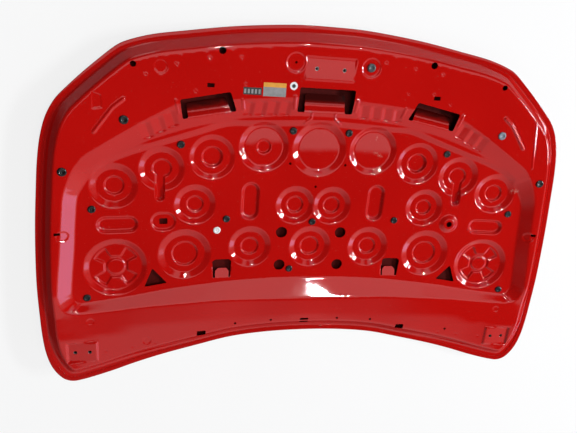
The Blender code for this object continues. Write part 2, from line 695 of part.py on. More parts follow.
def turned_piece(name, profile, sides, x, y, level, material):
    """A round piece made by the Screw modifier, standing square on the panel at a plan place."""
    mesh = bpy.data.meshes.new(name)
    bm = bmesh.new()
    verts = [bm.verts.new((r * MM, 0, z * MM)) for r, z in profile]
    for a, b in zip(verts[:-1], verts[1:]):
        bm.edges.new((a, b))
    bm.to_mesh(mesh)
    bm.free()
    obj = new_object(name, mesh, material, smooth=False)
    turn = obj.modifiers.new("turn", "SCREW")
    turn.axis = "Z"
    turn.steps = turn.render_steps = sides
    turn.use_merge_vertices = True
    turn.merge_threshold = 0.00002
    turn.use_smooth_shade = True
    turn.use_normal_calculate = True
    tilt = Vector((0, 0, 1)).rotation_difference(crown_normal(x, y)).to_matrix().to_4x4()
    obj.matrix_world = Matrix.Translation(world(x, y, level)) @ tilt
    return obj


def push_clip(name, x, y, material, head_r, head_h, stem_r, stem_l, sides):
    """A domed head with a stem that passes through its hole."""
    profile = [(0, -stem_l), (stem_r, -stem_l * 0.75), (stem_r, 0.0), (head_r, 0.0), (head_r, head_h * 0.3),
               (head_r * 0.68, head_h * 0.86), (0, head_h)]
    return turned_piece(name, profile, sides, x, y, FIELD_LEVEL + GAP, material)


def plug(name, x, y, material):
    """A flat hole plug of the frame."""
    level = frame_level(np.array([x]), np.array([y]))[0] + GAP
    r, h, s, l = PLUG_HEAD_R, PLUG_HEAD_H, PLUG_STEM_R, PLUG_STEM_L
    profile = [(0, -l), (s, -l * 0.8), (s, 0.0), (r, 0.0), (r, h * 0.35), (r * 0.8, h), (r * 0.55, h),
               (r * 0.42, h * 0.5), (0, h * 0.5)]
    return turned_piece(name, profile, 8, x, y, level, material)


def mastic_pad(name, x, y, radius, under_level, material):
    """A soft pad between the skin and the underside of a cone."""
    mesh = bpy.data.meshes.new(name)
    bm = bmesh.new()
    bmesh.ops.create_circle(bm, cap_ends=True, radius=radius, segments=8)
    bmesh.ops.poke(bm, faces=bm.faces[:])
    low = SKIN_T + GAP
    high = under_level - INNER_T - GAP
    for v in bm.verts:
        v.co = world(x + v.co.x, y + v.co.y, high)
    bm.normal_update()
    done = bmesh.ops.extrude_face_region(bm, geom=bm.faces[:], use_keep_orig=True)
    moved = [g for g in done["geom"] if isinstance(g, bmesh.types.BMVert)]
    bmesh.ops.translate(bm, verts=moved, vec=Vector((0, 0, (low - high) * MM)))
    bmesh.ops.recalc_face_normals(bm, faces=bm.faces[:])
    bm.to_mesh(mesh)
    bm.free()
    return new_object(name, mesh, material, smooth=False)


def seat_plate(name, x, y, half_x, half_y, height, bolts, material):
    """A flat plate with bolt holes under a seat, made from its outline and the extrude tool."""
    rings = [(box_ring(x, y, half_x, half_y), True)] + [(ring(bx, by, BOLT_HOLE_R, 8), True) for bx, by in bolts]
    xy, tri = triangles([], rings)
    middle = xy[tri].mean(axis=1)
    keep = np.ones(len(tri), bool)
    for loop, _ in rings[1:]:
        keep &= ~inside(loop, middle)
    top = height - INNER_T - GAP - crown(xy[:, 0], xy[:, 1])
    mesh = thick_sheet(name, xy, tri[keep], top, PLATE_T)
    return new_object(name, mesh, material, smooth=False)


def weld_nut(name, x, y, height, material):
    """A six sided nut under a bolt hole, cut through by the Boolean tool."""
    z = height - INNER_T - GAP - PLATE_T - GAP - NUT_H / 2
    place = Vector((*plan(x, y), z * MM))
    mesh = bpy.data.meshes.new(name)
    bm = bmesh.new()
    bmesh.ops.create_cone(bm, cap_ends=True, segments=6, radius1=NUT_R * MM, radius2=NUT_R * MM, depth=NUT_H * MM)
    bm.to_mesh(mesh)
    bm.free()
    obj = new_object(name, mesh, material, smooth=False)
    obj.location = place
    drill_mesh = bpy.data.meshes.new(name + "_drill")
    bm = bmesh.new()
    bmesh.ops.create_cone(bm, cap_ends=True, segments=8, radius1=BOLT_HOLE_R * 0.8 * MM,
                          radius2=BOLT_HOLE_R * 0.8 * MM, depth=NUT_H * 2 * MM)
    bm.to_mesh(drill_mesh)
    bm.free()
    drill = bpy.data.objects.new(name + "_drill", drill_mesh)
    CUTTERS.objects.link(drill)
    drill.location = place
    drill.hide_render = True
    drill.display_type = "WIRE"
    cut = obj.modifiers.new("bore", "BOOLEAN")
    cut.operation = "DIFFERENCE"
    cut.solver = "EXACT"
    cut.object = drill
    return obj


def build():
    """Builds every piece of the bonnet."""
    red = paint("red_paint", (0.50, 0.004, 0.002), 0.16, 0.0, 1.0)
    red_skin = paint("red_paint_skin", (0.50, 0.004, 0.002), 0.16, 0.0, 1.0)
    primer = paint("zinc_steel", (0.42, 0.43, 0.44), 0.5, 0.8)
    nut_mat = paint("nut_steel", (0.45, 0.44, 0.42), 0.4, 0.9)
    mastic = paint("mastic", (0.05, 0.05, 0.05), 0.8)
    clip_mat = paint("clip_plastic", (0.015, 0.015, 0.017), 0.38)
    white = paint("white_plastic", (0.72, 0.72, 0.70), 0.45)
    grey = paint("grey_plastic", (0.23, 0.24, 0.27), 0.5)
    dark = paint("dark_plastic", (0.02, 0.02, 0.022), 0.45)

    outer_panel(red_skin)
    inner_panel(red)

    number = 0
    for x, y, _, floor, dimple in PAIRED_CONES + CENTRE_CONES:
        for side in ((1, -1) if x > 1 else (1,)):
            number += 1
            radius, under = floor * PAD_SHARE, CONE_LEVEL
            if dimple > 0:
                radius, under = dimple - PAD_EDGE, DEEP_DIMPLE_LEVEL if x == DEEP_CONE_X else DIMPLE_LEVEL
            elif x == STAR_CONE_X:
                radius, under = STAR_DISC - DISC_RAMP - 3.0, STAR_DISC_LEVEL
            elif (x * side, y) == LEFT_DIMPLE[:2]:
                radius, under = LEFT_DIMPLE[2] - PAD_EDGE, DIMPLE_LEVEL
            mastic_pad("mastic_pad_%02d" % number, x * side, y, radius, under, mastic)

    number = 0
    places = [(x * side, y) for x, y in PAIRED_CLIPS for side in (1, -1)] + SINGLE_CLIPS
    for x, y in places:
        number += 1
        push_clip("push_clip_%02d" % number, x, y, clip_mat, CLIP_HEAD_R, CLIP_HEAD_H, CLIP_STEM_R,
                  CLIP_STEM_L, 8)
    push_clip("white_plug", *WHITE_PLUG, white, CLIP_HEAD_R, CLIP_HEAD_H * 0.6, CLIP_STEM_R, CLIP_STEM_L, 8)
    for name, x, y in GREY_PLUGS:
        plug(name, x, y, grey)
    for name, x, y in DARK_PLUGS:
        plug(name, x, y, dark)

    bolts = bolt_places()
    hx, hy, half_x, half_y = HINGE_SEAT
    for side, word, pair in ((-1, "left", bolts[0:2]), (1, "right", bolts[2:4])):
        height = seat_height(hx, hy)
        seat_plate("hinge_plate_" + word, hx * side, hy, half_x - SEAT_EDGE, half_y - SEAT_EDGE, height, pair, primer)
        for k, (bx, by) in enumerate(pair):
            weld_nut("hinge_nut_%s_%d" % (word, k + 1), bx, by, height, nut_mat)
    lx, ly, latch_x, latch_y = LATCH_SEAT
    height = seat_height(lx, ly)
    seat_plate("latch_plate", lx, ly, latch_x - SEAT_EDGE, latch_y - SEAT_EDGE, height, bolts[4:6], primer)
    for k, (bx, by) in enumerate(bolts[4:6]):
        weld_nut("latch_nut_%d" % (k + 1), bx, by, height, nut_mat)


for old in list(bpy.data.objects):
    bpy.data.objects.remove(old, do_unlink=True)
COLLECTION = bpy.data.collections.new("bonnet")
bpy.context.scene.collection.children.link(COLLECTION)
CUTTERS = bpy.data.collections.new("cutters")
bpy.context.scene.collection.children.link(CUTTERS)
CUTTERS.hide_render = True
build()
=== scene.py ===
"""Looks of the car bonnet: fine stamped panels, glossy paint, clips, labels, floor, lamps and camera."""
import math

import bpy
import numpy as np
from mathutils import Matrix, Vector
from mathutils.geometry import delaunay_2d_cdt


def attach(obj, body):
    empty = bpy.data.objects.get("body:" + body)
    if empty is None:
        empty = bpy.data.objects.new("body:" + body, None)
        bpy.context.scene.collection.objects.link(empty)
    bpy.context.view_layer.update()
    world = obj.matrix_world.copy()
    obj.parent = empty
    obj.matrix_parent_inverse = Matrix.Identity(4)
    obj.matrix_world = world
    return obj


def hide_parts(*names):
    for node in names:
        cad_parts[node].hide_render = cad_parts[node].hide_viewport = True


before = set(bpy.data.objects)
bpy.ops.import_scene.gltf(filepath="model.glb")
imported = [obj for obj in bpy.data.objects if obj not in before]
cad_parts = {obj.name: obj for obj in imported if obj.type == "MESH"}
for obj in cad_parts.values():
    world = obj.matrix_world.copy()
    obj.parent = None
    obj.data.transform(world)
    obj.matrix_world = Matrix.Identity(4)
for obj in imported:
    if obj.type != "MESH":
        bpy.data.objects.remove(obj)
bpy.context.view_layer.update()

# Sizes and levels in millimetres. Plan places run x across and y forward,
# and levels are measured up from the skin's outer face
MM = 0.001
CROWN_X, CROWN_Y, Y_MID = 0.114, 0.098, -99.0
SKIN_T, INNER_T, HEM_GAP, HEM_REACH, HEM_ROUND = 0.8, 0.8, 0.4, 14.0, 1.6
FLANGE_W, SLOPE_W = 15.5, 25.5
REAR_FLANGE_EXTRA, REAR_SLOPE_EXTRA, PAST_EDGE = 11.0, 2.0, 7.0
FRAME_LEVEL, LEDGE_LEVEL, FIELD_LEVEL, CONE_LEVEL = 34.0, 21.0, 14.5, 7.5
DIMPLE_LEVEL, CHANNEL_LEVEL, REAR_FALL, BOSS_LEVEL = 3.9, 25.0, 6.0, 21.0
RAISED_CONE_LEVEL, DEEP_DIMPLE_LEVEL, STAR_LEVEL, STAR_DISC_LEVEL = 9.5, 3.0, 3.4, 6.2

OUTLINE = [(0, 389), (75, 388), (150, 382.5), (245, 372), (355, 354.5), (440, 339), (494, 322), (514, 312),
           (562, 273), (600, 239), (634, 206), (652, 187), (668, 163), (681, 136), (694, 92), (704, 35),
           (713, -50), (720, -130), (725, -220), (727, -300), (725, -380), (722, -440), (716, -490),
           (706, -528), (692, -556), (673, -578), (652, -587), (628, -586), (555, -571), (490, -553),
           (421, -536), (312, -513.5), (219, -495), (120, -486), (0, -483)]
WALL_TOP = [(0, 215), (78, 214), (150, 209), (221, 203), (300, 195), (379, 184), (430, 157), (478, 128),
            (556, 78), (600, 48), (624, 14), (639, -20), (648, -50), (655, -110), (664, -200), (674, -290),
            (675, -335), (660, -366), (630, -374), (560, -374), (464, -369), (349, -367), (246, -364),
            (167, -366), (0, -368)]
WALL_FOOT = [(0, 141), (100, 137), (200, 134), (250, 131), (320, 108), (420, 76), (480, 56), (530, 36),
             (575, 8), (604, -30), (616, -54), (624, -110), (631, -200), (640, -290), (641, -330),
             (628, -352), (600, -351), (500, -342), (400, -328), (300, -318), (240, -312), (90, -305),
             (0, -304)]
LEDGE_OUT = [(0, 166), (92, 164), (160, 158), (222, 152), (330, 127), (453, 88), (529, 56), (580, 22)]
LEDGE_IN = [(0, 155), (92, 151), (200, 146), (255, 143), (328, 119), (420, 88), (490, 65), (536, 43)]
CREASE = [(0, -419), (110, -420.5), (223, -421), (362, -430), (454, -431), (526, -439), (600, -447)]

# x, y, outer radius, floor radius, dimple radius
CONES = [(532, -30, 61, 43, 24.5), (414.5, 14.6, 60, 43, 24.5),
         (287, 47, 61, 47, 27), (152, 77.4, 69, 53, 19),
         (329, -83.5, 57, 40, 22.5), (53.2, -85, 57, 40, 24),
         (354, -225.8, 74, 54, 35), (174.4, -208.3, 62, 44, 25),
         (533, -255, 82, 66, 0)]
CENTRE_CONES = [(0, 75.4, 78, 58, 0), (0, -209, 63, 45, 27.5)]
RAISED_CONE_X, PLAIN_CONE, KEYHOLE_CONE = 287, (152, 77.4), (414.5, 14.6)
FRONT_ROW_Y, FRONT_TILT, FRONT_LEFT, FRONT_LEFT_TILT = 70, 0.045, -152, 0.0415
DIMPLE_WALL, PILL_WALL, OVAL_WALL, OVAL_DEPTH = 2.2, 10, 7, 4
# x, y, half length, half width
NECK = (419.5, -28, 44, 12)
NECK_WALL = 3
# x, y, half length, half width, whether it stands upright
PILLS = [(180, -74, 55, 26, True), (526, -134.6, 53, 24, False)]
STAR_LONG, STAR_SHORT, STAR_WALL = 60, 33, 3.6
STAR_DISC_FLAT, STAR_DISC_WALL = 19, 7
# x, y, half width, half length
HINGE_SEAT = (622, -492, 34, 26)
LATCH_SEAT = (0, 288, 60, 24)
SEAT_WALL, HINGE_BOLT_SHARE, LATCH_BOLT_SHARE = 8, 0.55, 0.6
PAIRED_HOLES = [(86.3, -165.4, 16), (86.2, -264.9, 16), (478, 273, 7), (273, 316, 8.7),
                (77.7, 34.5, 3.5), (207, -441, 3.5), (101.7, -435.5, 3.5)]
SINGLE_HOLES = [(0, -29.6, 3.5), (-90.3, 299.8, 3.2), (453, -473, 3.5), (410.7, -129.4, 8.2)]
PAIRED_SLOTS = [(304, -467, 12.5, 8), (298, 233, 9, 5), (666, -147, 7, 3.6)]
SINGLE_SLOTS = [(0, -436.5, 12.5, 3.4), (0, -448, 12.5, 3.4), (-410.7, -129.4, 10.5, 8)]
TRIANGLE = [(439.5, -262.7), (401, -308), (461, -316)]
TAB_HOLE = [(227, -300), (225, -250), (232, -244), (270, -244), (278, -250), (275, -300)]
TAB = [(231, -300), (231, -281), (238, -273), (261, -273), (269, -281), (269, -300)]
TAB_BOX = [(231, -300), (231, -273), (269, -273), (269, -300)]
TAB_DROP = 6
# Upper and lower end of each pleat's border in the front wall
PLEATS = [((100, 202), (104, 166)), ((132, 201), (136, 165)), ((164, 199), (168, 163)),
          ((196, 196), (200, 162)), ((394, 166), (382, 128)), ((424, 151), (412, 113)),
          ((454, 136), (442, 98))]
PLEAT_STEEP, PLEAT_GENTLE, PLEAT_DEPTH = 12, 19, 3.2
# Points, half width and height of each bead
MIDDLE_BEADS = [([(-33, 174), (-34, 160), (-50, 146)], 4, 1.8),
                ([(29, 174), (31, 160), (49, 146)], 4, 1.8)]
PAIRED_BEADS = [([(501, 191), (526, 171), (570, 112)], 5.6, 3.2), ([(218, 200), (213, 176)], 6, 1.4),
                ([(381, 192), (374, 160)], 5, 1.3), ([(84, 214), (82, 184)], 7, 1.8),
                ([(639, -368), (626, -352)], 3.5, 1.6)]
RIGHT_BEAD = ([(591, 188), (602, 120), (612, 57)], 4, 1.2)
# x, y, radius, edge width, height
IMPRESSIONS = [(655, -155, 10, 6, -1.6), (-655, -155, 10, 6, -1.6), (-416, 270.5, 14, 1.8, -0.7),
               (-454, -476, 10, 1.8, -0.7), (-599, -401, 8, 1.8, -0.7), (604, -398, 8, 1.8, -0.7),
               (-90.3, 299.8, 21, 5, -1.5), (106, 299, 21, 5, -1.5)]
# Weld marks: a raised ring round a sunk middle, and a row of plain dents at the rear
WELDS = [(-450, 250), (-379, 277), (-334, 216), (-302, 296), (-226, 302), (-213, 239), (144, 313),
         (224, 303), (301, 294), (217, 238), (288, 241), (338, 218)]
REAR_WELDS = [(k * 62 + 6 * math.sin(k * 2.3), -455 - abs(k) * 4.5) for k in range(-9, 10)]
EMBOSS_DEPTH = 0.9
EMBOSS = [(-571.8, 165.3), (-549.4, 169.3), (-550, 199.5), (-571, 207.6)]
# x, y, half length, half width, then x, y, outer radius, top radius
OVAL = (-410.7, -129.4, 34, 27)
BOSS = (410.7, -129.4, 29, 16)
BOLT_HOLE_R, CLIP_HOLE_R, PLUG_HOLE_R = 5.2, 4.2, 8.5
CLIPS = [(367.4, 79.3), (77, 124), (586.3, -90.3), (243.6, -124.4), (606.4, -335.7)]
CENTRE_CLIPS = [(0, -133.2), (-56.2, -277.3)]
WHITE_PLUG = (-268.3, -157)
PLUGS = [(106, 299), (502.8, 143.9), (-502, 142), (-645, 13.2), (645, 13.2)]

# The three openings in front of the field: outer corners, then the tongue's corners, rear edge first
WINDOW_SIDE = [(231, 171), (249, 219), (371, 195), (364, 146)]
TONGUE_SIDE = [(245, 168), (259, 203), (357, 183), (350, 149)]
WINDOW_MID = [(-74, 176), (-74, 240), (74, 240), (74, 176)]
TONGUE_MID = [(-54, 176), (-54, 222), (54, 222), (54, 176)]
TONGUE_DEEP, TONGUE_SIDE_START, TONGUE_MID_START = 9.0, 26.0, 23.7
# Where each ridge crosses a tongue, as a share of its length, and its height
RIDGES_SIDE, RIDGES_MID = ((0.10, 1.0), (0.34, -1.2)), ((0.12, 1.0), (0.34, -1.0), (0.55, 0.9))
# Between which shares of a tongue's length painted shade fades in over its paint
SHADE_SPAN_SIDE, SHADE_SPAN_MID, SHADE_SPAN_NEVER = (0.15, 0.85), (0.30, 0.75), (0.9, 2.0)

ALL_CONES = [(s * x, y, outer, floor, dimple) for x, y, outer, floor, dimple in CONES + CENTRE_CONES
             for s in ((1, -1) if x > 1 else (1,))]

# The grid that holds the inner panel's levels
STEP = 1.0
WALL_BLUR, EDGE_BLUR = 2.4, 0.6
BEND_LIMIT, CELLS, SKIN_STEP = 0.16, (20, 10, 5), 18.0
X0, Y0 = -736.0, -596.0
NX, NY = 1473, 994
XS, YS = X0 + STEP * np.arange(NX), Y0 + STEP * np.arange(NY)


def crown(x, y):
    """Height of the skin's outer face in millimetres."""
    return (CROWN_X * (x * MM) ** 2 + CROWN_Y * ((y - Y_MID) * MM) ** 2) / MM


def world_points(xy, level):
    """World places in metres of plan points raised by levels above the skin."""
    z = crown(xy[:, 0], xy[:, 1]) + level
    return np.stack([xy[:, 0], xy[:, 1] - Y_MID, z], 1) * MM


def both_sides(half, closed=True):
    """Mirrors a half line about the centre."""
    left = [(-x, y) for x, y in half if abs(x) > 1e-6]
    line = left[::-1] + list(half) if not closed else (list(half) + left[::-1])[::-1]
    return np.array(line, float)


def curve(points, step, closed=True):
    """A smooth line through points, with its points spaced evenly."""
    p = np.array(points, float)
    n = len(p)
    out = []
    for i in range(n if closed else n - 1):
        if closed:
            a, b, c, d = p[(i - 1) % n], p[i], p[(i + 1) % n], p[(i + 2) % n]
        else:
            b, c = p[i], p[i + 1]
            a = p[i - 1] if i > 0 else 2 * b - c
            d = p[i + 2] if i + 2 < n else 2 * c - b
        t1 = math.sqrt(np.linalg.norm(b - a))
        t2 = t1 + math.sqrt(np.linalg.norm(c - b))
        t3 = t2 + math.sqrt(np.linalg.norm(d - c))
        count = max(1, int(math.ceil(np.linalg.norm(c - b) / step)))
        for t in t1 + (t2 - t1) * np.arange(count) / count:
            a1 = (t1 - t) / t1 * a + t / t1 * b
            a2 = (t2 - t) / (t2 - t1) * b + (t - t1) / (t2 - t1) * c
            a3 = (t3 - t) / (t3 - t2) * c + (t - t2) / (t3 - t2) * d
            b1 = (t2 - t) / t2 * a1 + t / t2 * a2
            b2 = (t3 - t) / (t3 - t1) * a2 + (t - t1) / (t3 - t1) * a3
            out.append((t2 - t) / (t2 - t1) * b1 + (t - t1) / (t2 - t1) * b2)
    if not closed:
        out.append(p[-1])
    return np.array(out)


def turned(loop):
    """The same loop run anticlockwise."""
    a = np.array(loop, float)
    area = np.sum(a[:, 0] * np.roll(a[:, 1], -1) - np.roll(a[:, 0], -1) * a[:, 1])
    return a if area > 0 else a[::-1]


def inset(loop, width):
    """Moves each point of an anticlockwise loop inward."""
    a = np.array(loop, float)
    width = np.broadcast_to(np.array(width, float), (len(a),))
    before = a - np.roll(a, 1, axis=0)
    after = np.roll(a, -1, axis=0) - a
    before /= np.linalg.norm(before, axis=1)[:, None]
    after /= np.linalg.norm(after, axis=1)[:, None]
    n = np.stack([-(before + after)[:, 1], (before + after)[:, 0]], 1)
    n /= np.linalg.norm(n, axis=1)[:, None]
    across = np.stack([-after[:, 1], after[:, 0]], 1)
    stretch = 1.0 / np.clip(np.sum(n * across, axis=1), 0.75, 1.0)
    return a + n * (width * stretch)[:, None]


def densify(loop, step):
    """Adds points along straight sides."""
    a = np.array(loop, float)
    out = []
    for i in range(len(a)):
        p, q = a[i], a[(i + 1) % len(a)]
        n = max(1, int(math.ceil(np.linalg.norm(q - p) / step)))
        out += [p + (q - p) * k / n for k in range(n)]
    return np.array(out)


def rounded(loop, radius, steps):
    """Rounds the corners of a polygon."""
    a = np.array(loop, float)
    out = []
    for i in range(len(a)):
        p, q, r = a[i - 1], a[i], a[(i + 1) % len(a)]
        u, v = p - q, r - q
        reach = min(radius, np.linalg.norm(u) * 0.45, np.linalg.norm(v) * 0.45)
        s, e = q + u / np.linalg.norm(u) * reach, q + v / np.linalg.norm(v) * reach
        for t in np.linspace(0, 1, steps + 1):
            out.append((1 - t) ** 2 * s + 2 * t * (1 - t) * q + t * t * e)
    return np.array(out)


def circle(x, y, r, n):
    """A ring of points."""
    t = 2 * math.pi * (np.arange(n) + 0.5) / n
    return np.stack([x + r * np.cos(t), y + r * np.sin(t)], 1)


def box_loop(x, y, a, b):
    """Four corners."""
    return np.array([(x - a, y - b), (x + a, y - b), (x + a, y + b), (x - a, y + b)], float)


def flipped(loop):
    """The loop on the other side of the centre line."""
    return (np.array(loop, float) * np.array([-1.0, 1.0]))[::-1]


def triangles(points, lines):
    """Triangles over points that keep every given line as an edge."""
    edges, pts = [], []
    for line, closed in lines:
        start, count = len(pts), len(line)
        pts += [Vector(p) for p in line]
        edges += [(start + i, start + (i + 1) % count) for i in range(count if closed else count - 1)]
    pts += [Vector(p) for p in points]
    done = delaunay_2d_cdt(pts, edges, [], 0, 1e-4)
    return np.array([(v.x, v.y) for v in done[0]]), np.array([f for f in done[2] if len(f) == 3])


def inside_points(loop, pts):
    """Which points lie inside a loop, in blocks."""
    a = np.asarray(loop, float)
    b = np.roll(a, -1, axis=0)
    low, high = a.min(axis=0), a.max(axis=0)
    near = np.where(np.all((pts >= low) & (pts <= high), axis=1))[0]
    out = np.zeros(len(pts), bool)
    for k in range(0, len(near), 20000):
        q = pts[near[k:k + 20000]]
        x, y = q[:, 0][:, None], q[:, 1][:, None]
        cross = (a[:, 1] > y) != (b[:, 1] > y)
        with np.errstate(divide="ignore", invalid="ignore"):
            at = (b[:, 0] - a[:, 0]) * (y - a[:, 1]) / (b[:, 1] - a[:, 1]) + a[:, 0]
        out[near[k:k + 20000]] = (np.sum(cross & (x < at), axis=1) % 2) == 1
    return out


def around(points, margin=0.0):
    """Slices and places of the part of the grid round some points."""
    low, high = np.min(points, axis=0) - margin, np.max(points, axis=0) + margin
    i0, i1 = max(0, int((low[0] - X0) / STEP)), min(NX, int((high[0] - X0) / STEP) + 2)
    j0, j1 = max(0, int((low[1] - Y0) / STEP)), min(NY, int((high[1] - Y0) / STEP) + 2)
    xx, yy = np.meshgrid(XS[i0:i1], YS[j0:j1])
    return slice(j0, j1), slice(i0, i1), xx, yy


def away(line, xx, yy, closed=True):
    """Distance of grid places from a line."""
    a = np.asarray(line, float)
    b = np.roll(a, -1, axis=0)
    if not closed:
        a, b = a[:-1], b[:-1]
    best = np.full(xx.shape, 1e9)
    for p, q in zip(a, b):
        d = q - p
        t = np.clip(((xx - p[0]) * d[0] + (yy - p[1]) * d[1]) / (d @ d + 1e-12), 0, 1)
        best = np.minimum(best, (xx - p[0] - t * d[0]) ** 2 + (yy - p[1] - t * d[1]) ** 2)
    return np.sqrt(best)


def inside_local(loop, xx, yy):
    """Mask of local grid places inside a loop."""
    return inside_points(loop, np.stack([xx.ravel(), yy.ravel()], 1)).reshape(xx.shape)


def ease(t):
    """A ramp with soft ends."""
    t = np.clip(t, 0, 1)
    return t * t * t * (t * (6 * t - 15) + 10)


def slope(t):
    """A straight ramp from a crisp foot to a soft crest."""
    t = np.clip(t, 0, 1)
    return np.where(t < 0.76, 1.136 * t, 1 - (1 - t) ** 2 * 2.37)


def blur(grid, sigma):
    """Softens the grid."""
    n = int(math.ceil(sigma / STEP * 3))
    k = np.exp(-0.5 * (np.arange(-n, n + 1) * STEP / sigma) ** 2)
    k /= k.sum()
    for axis in (0, 1):
        pad = [(n, n) if a == axis else (0, 0) for a in (0, 1)]
        wide = np.pad(grid, pad, mode="edge")
        size = grid.shape[axis]
        total = np.zeros_like(grid)
        for i, weight in enumerate(k):
            total += weight * (wide[i:i + size] if axis == 0 else wide[:, i:i + size])
        grid = total
    return grid


def frame_level(x, y):
    """Level of the raised frame."""
    rise = np.clip((y + 385.0) / 65.0, 0, 1)
    fall = np.clip((-419.0 - 0.045 * np.abs(x) - y) / 70.0, 0, 1)
    return CHANNEL_LEVEL + (FRAME_LEVEL - CHANNEL_LEVEL) * rise - REAR_FALL * fall


OUT = turned(curve(both_sides(OUTLINE), 9.0))
REAR = np.clip((-OUT[:, 1] - 440.0) / 100.0, 0, 1) * np.clip((np.abs(OUT[:, 0]) - 300) / 250, 0, 1)
EDGE = inset(OUT, HEM_ROUND + HEM_GAP + SKIN_T)


def base_grid():
    """Levels of the plain stamped panel before the cones."""
    flange = SKIN_T + HEM_GAP + INNER_T
    foot = inset(OUT, FLANGE_W + REAR_FLANGE_EXTRA * REAR)
    top = inset(OUT, FLANGE_W + SLOPE_W + REAR_SLOPE_EXTRA * REAR)
    wall_top = turned(curve(both_sides(WALL_TOP), 14.0))
    wall_foot = turned(curve(both_sides(WALL_FOOT), 14.0))
    wide = inset(OUT, -PAST_EDGE)
    lines = [(wide, np.full(len(wide), flange), True), (foot, np.full(len(foot), flange), True),
             (top, frame_level(top[:, 0], top[:, 1]), True),
             (wall_top, frame_level(wall_top[:, 0], wall_top[:, 1]), True),
             (wall_foot, np.full(len(wall_foot), FIELD_LEVEL), True)]
    for half in (LEDGE_OUT, LEDGE_IN):
        line = curve(both_sides(half, False), 14.0, False)
        fade = np.clip((np.abs(line[:, 0]) - 440.0) / 120.0, 0, 1)
        lines.append((line, LEDGE_LEVEL + (2.0 if half is LEDGE_OUT else -2.0) * fade, False))
    line = curve(both_sides(CREASE, False), 20.0, False)
    lines.append((line, frame_level(line[:, 0], line[:, 1]), False))
    xy, tri = triangles([], [(line[0], line[2]) for line in lines])
    known = np.concatenate([line[0] for line in lines])
    level = np.concatenate([line[1] for line in lines])
    at = np.array([level[np.argmin(np.sum((known - q) ** 2, axis=1))] for q in xy])
    grid = np.full((NY, NX), flange)
    for f in tri:
        a, b, c = xy[f]
        det = (b[0] - a[0]) * (c[1] - a[1]) - (c[0] - a[0]) * (b[1] - a[1])
        if abs(det) < 1e-6:
            continue
        sj, si, xx, yy = around(xy[f])
        w1 = ((xx - a[0]) * (c[1] - a[1]) - (c[0] - a[0]) * (yy - a[1])) / det
        w2 = ((b[0] - a[0]) * (yy - a[1]) - (xx - a[0]) * (b[1] - a[1])) / det
        w0 = 1 - w1 - w2
        hit = (w0 >= -1e-6) & (w1 >= -1e-6) & (w2 >= -1e-6)
        part = grid[sj, si]
        part[hit] = (w0 * at[f[0]] + w1 * at[f[1]] + w2 * at[f[2]])[hit]
    return grid


def press_round(grid, x, y, outer, floor, level, tilt=0.0):
    """Presses a round recess."""
    sj, si, xx, yy = around([(x, y)], outer)
    r = np.hypot(xx - x, yy - y)
    t = slope((r - floor) / (outer - floor))
    part = grid[sj, si]
    part[...] = (level - tilt * (yy - y)) * (1 - t) + part * t


def press_loop(grid, loop, ramp, level):
    """Presses a recess whose wall runs inward from a loop over a width, to a level or a rule for it."""
    sj, si, xx, yy = around(loop)
    d = away(loop, xx, yy)
    t = np.where(inside_local(loop, xx, yy), 1 - ease(d / ramp), 1.0)
    target = level(xx, yy) if callable(level) else level
    part = grid[sj, si]
    part[...] = target * (1 - t) + part * t


def bump_line(grid, points, width, height):
    """Adds a bead or groove along a line."""
    p = np.array(points, float)
    sj, si, xx, yy = around(p, width * 2)
    d = away(p, xx, yy, False)
    grid[sj, si] += height * (1 - ease(d / width))


def pleat(grid, top, foot, side):
    """Sinks one pleat of the front wall: a steep border, then a broad slanted face."""
    p, q = np.array(top, float), np.array(foot, float)
    sj, si, xx, yy = around([p, q], PLEAT_GENTLE + 2)
    length = np.linalg.norm(q - p)
    dx, dy = (q - p) / length
    along = (xx - p[0]) * dx + (yy - p[1]) * dy
    across = ((xx - p[0]) * dy - (yy - p[1]) * dx) * -side
    depth = np.clip(np.where(across < 0, 1 + across / PLEAT_STEEP, 1 - across / PLEAT_GENTLE), 0, 1)
    ends = ease((along + 4) / 8) * ease((length + 2 - along) / 5)
    grid[sj, si] -= PLEAT_DEPTH * depth * ends


def bump_round(grid, x, y, r, width, height):
    """Adds a soft raised ring."""
    sj, si, xx, yy = around([(x, y)], r + width * 2)
    d = np.abs(np.hypot(xx - x, yy - y) - r)
    grid[sj, si] += height * (1 - ease(d / width))


def step_round(grid, x, y, r, width, height):
    """Lifts or sinks a disc with a soft edge."""
    sj, si, xx, yy = around([(x, y)], r + width)
    grid[sj, si] += height * (1 - ease((np.hypot(xx - x, yy - y) - r) / width))


def star_loop(x, y):
    """The crossed recess of the big cones."""
    out = []
    for quarter in range(4):
        base = quarter * math.pi / 2
        for turn in (-0.36, 0.36, 0.43, 0.60, 0.785, 0.97, 1.14):
            reach = STAR_SHORT if abs(turn) < 0.4 else STAR_LONG
            out.append((x + reach * math.cos(base + turn), y + reach * math.sin(base + turn)))
    return np.array(out)


def pill_loop(x, y, half_long, half_wide, upright):
    """A long loop with round ends."""
    t = np.linspace(-math.pi / 2, math.pi / 2, 14)
    right = np.stack([(half_long - half_wide) + half_wide * np.cos(t), half_wide * np.sin(t)], 1)
    both = np.concatenate([right, -right])
    if upright:
        both = np.stack([-both[:, 1], both[:, 0]], 1)
    return both + np.array([x, y])


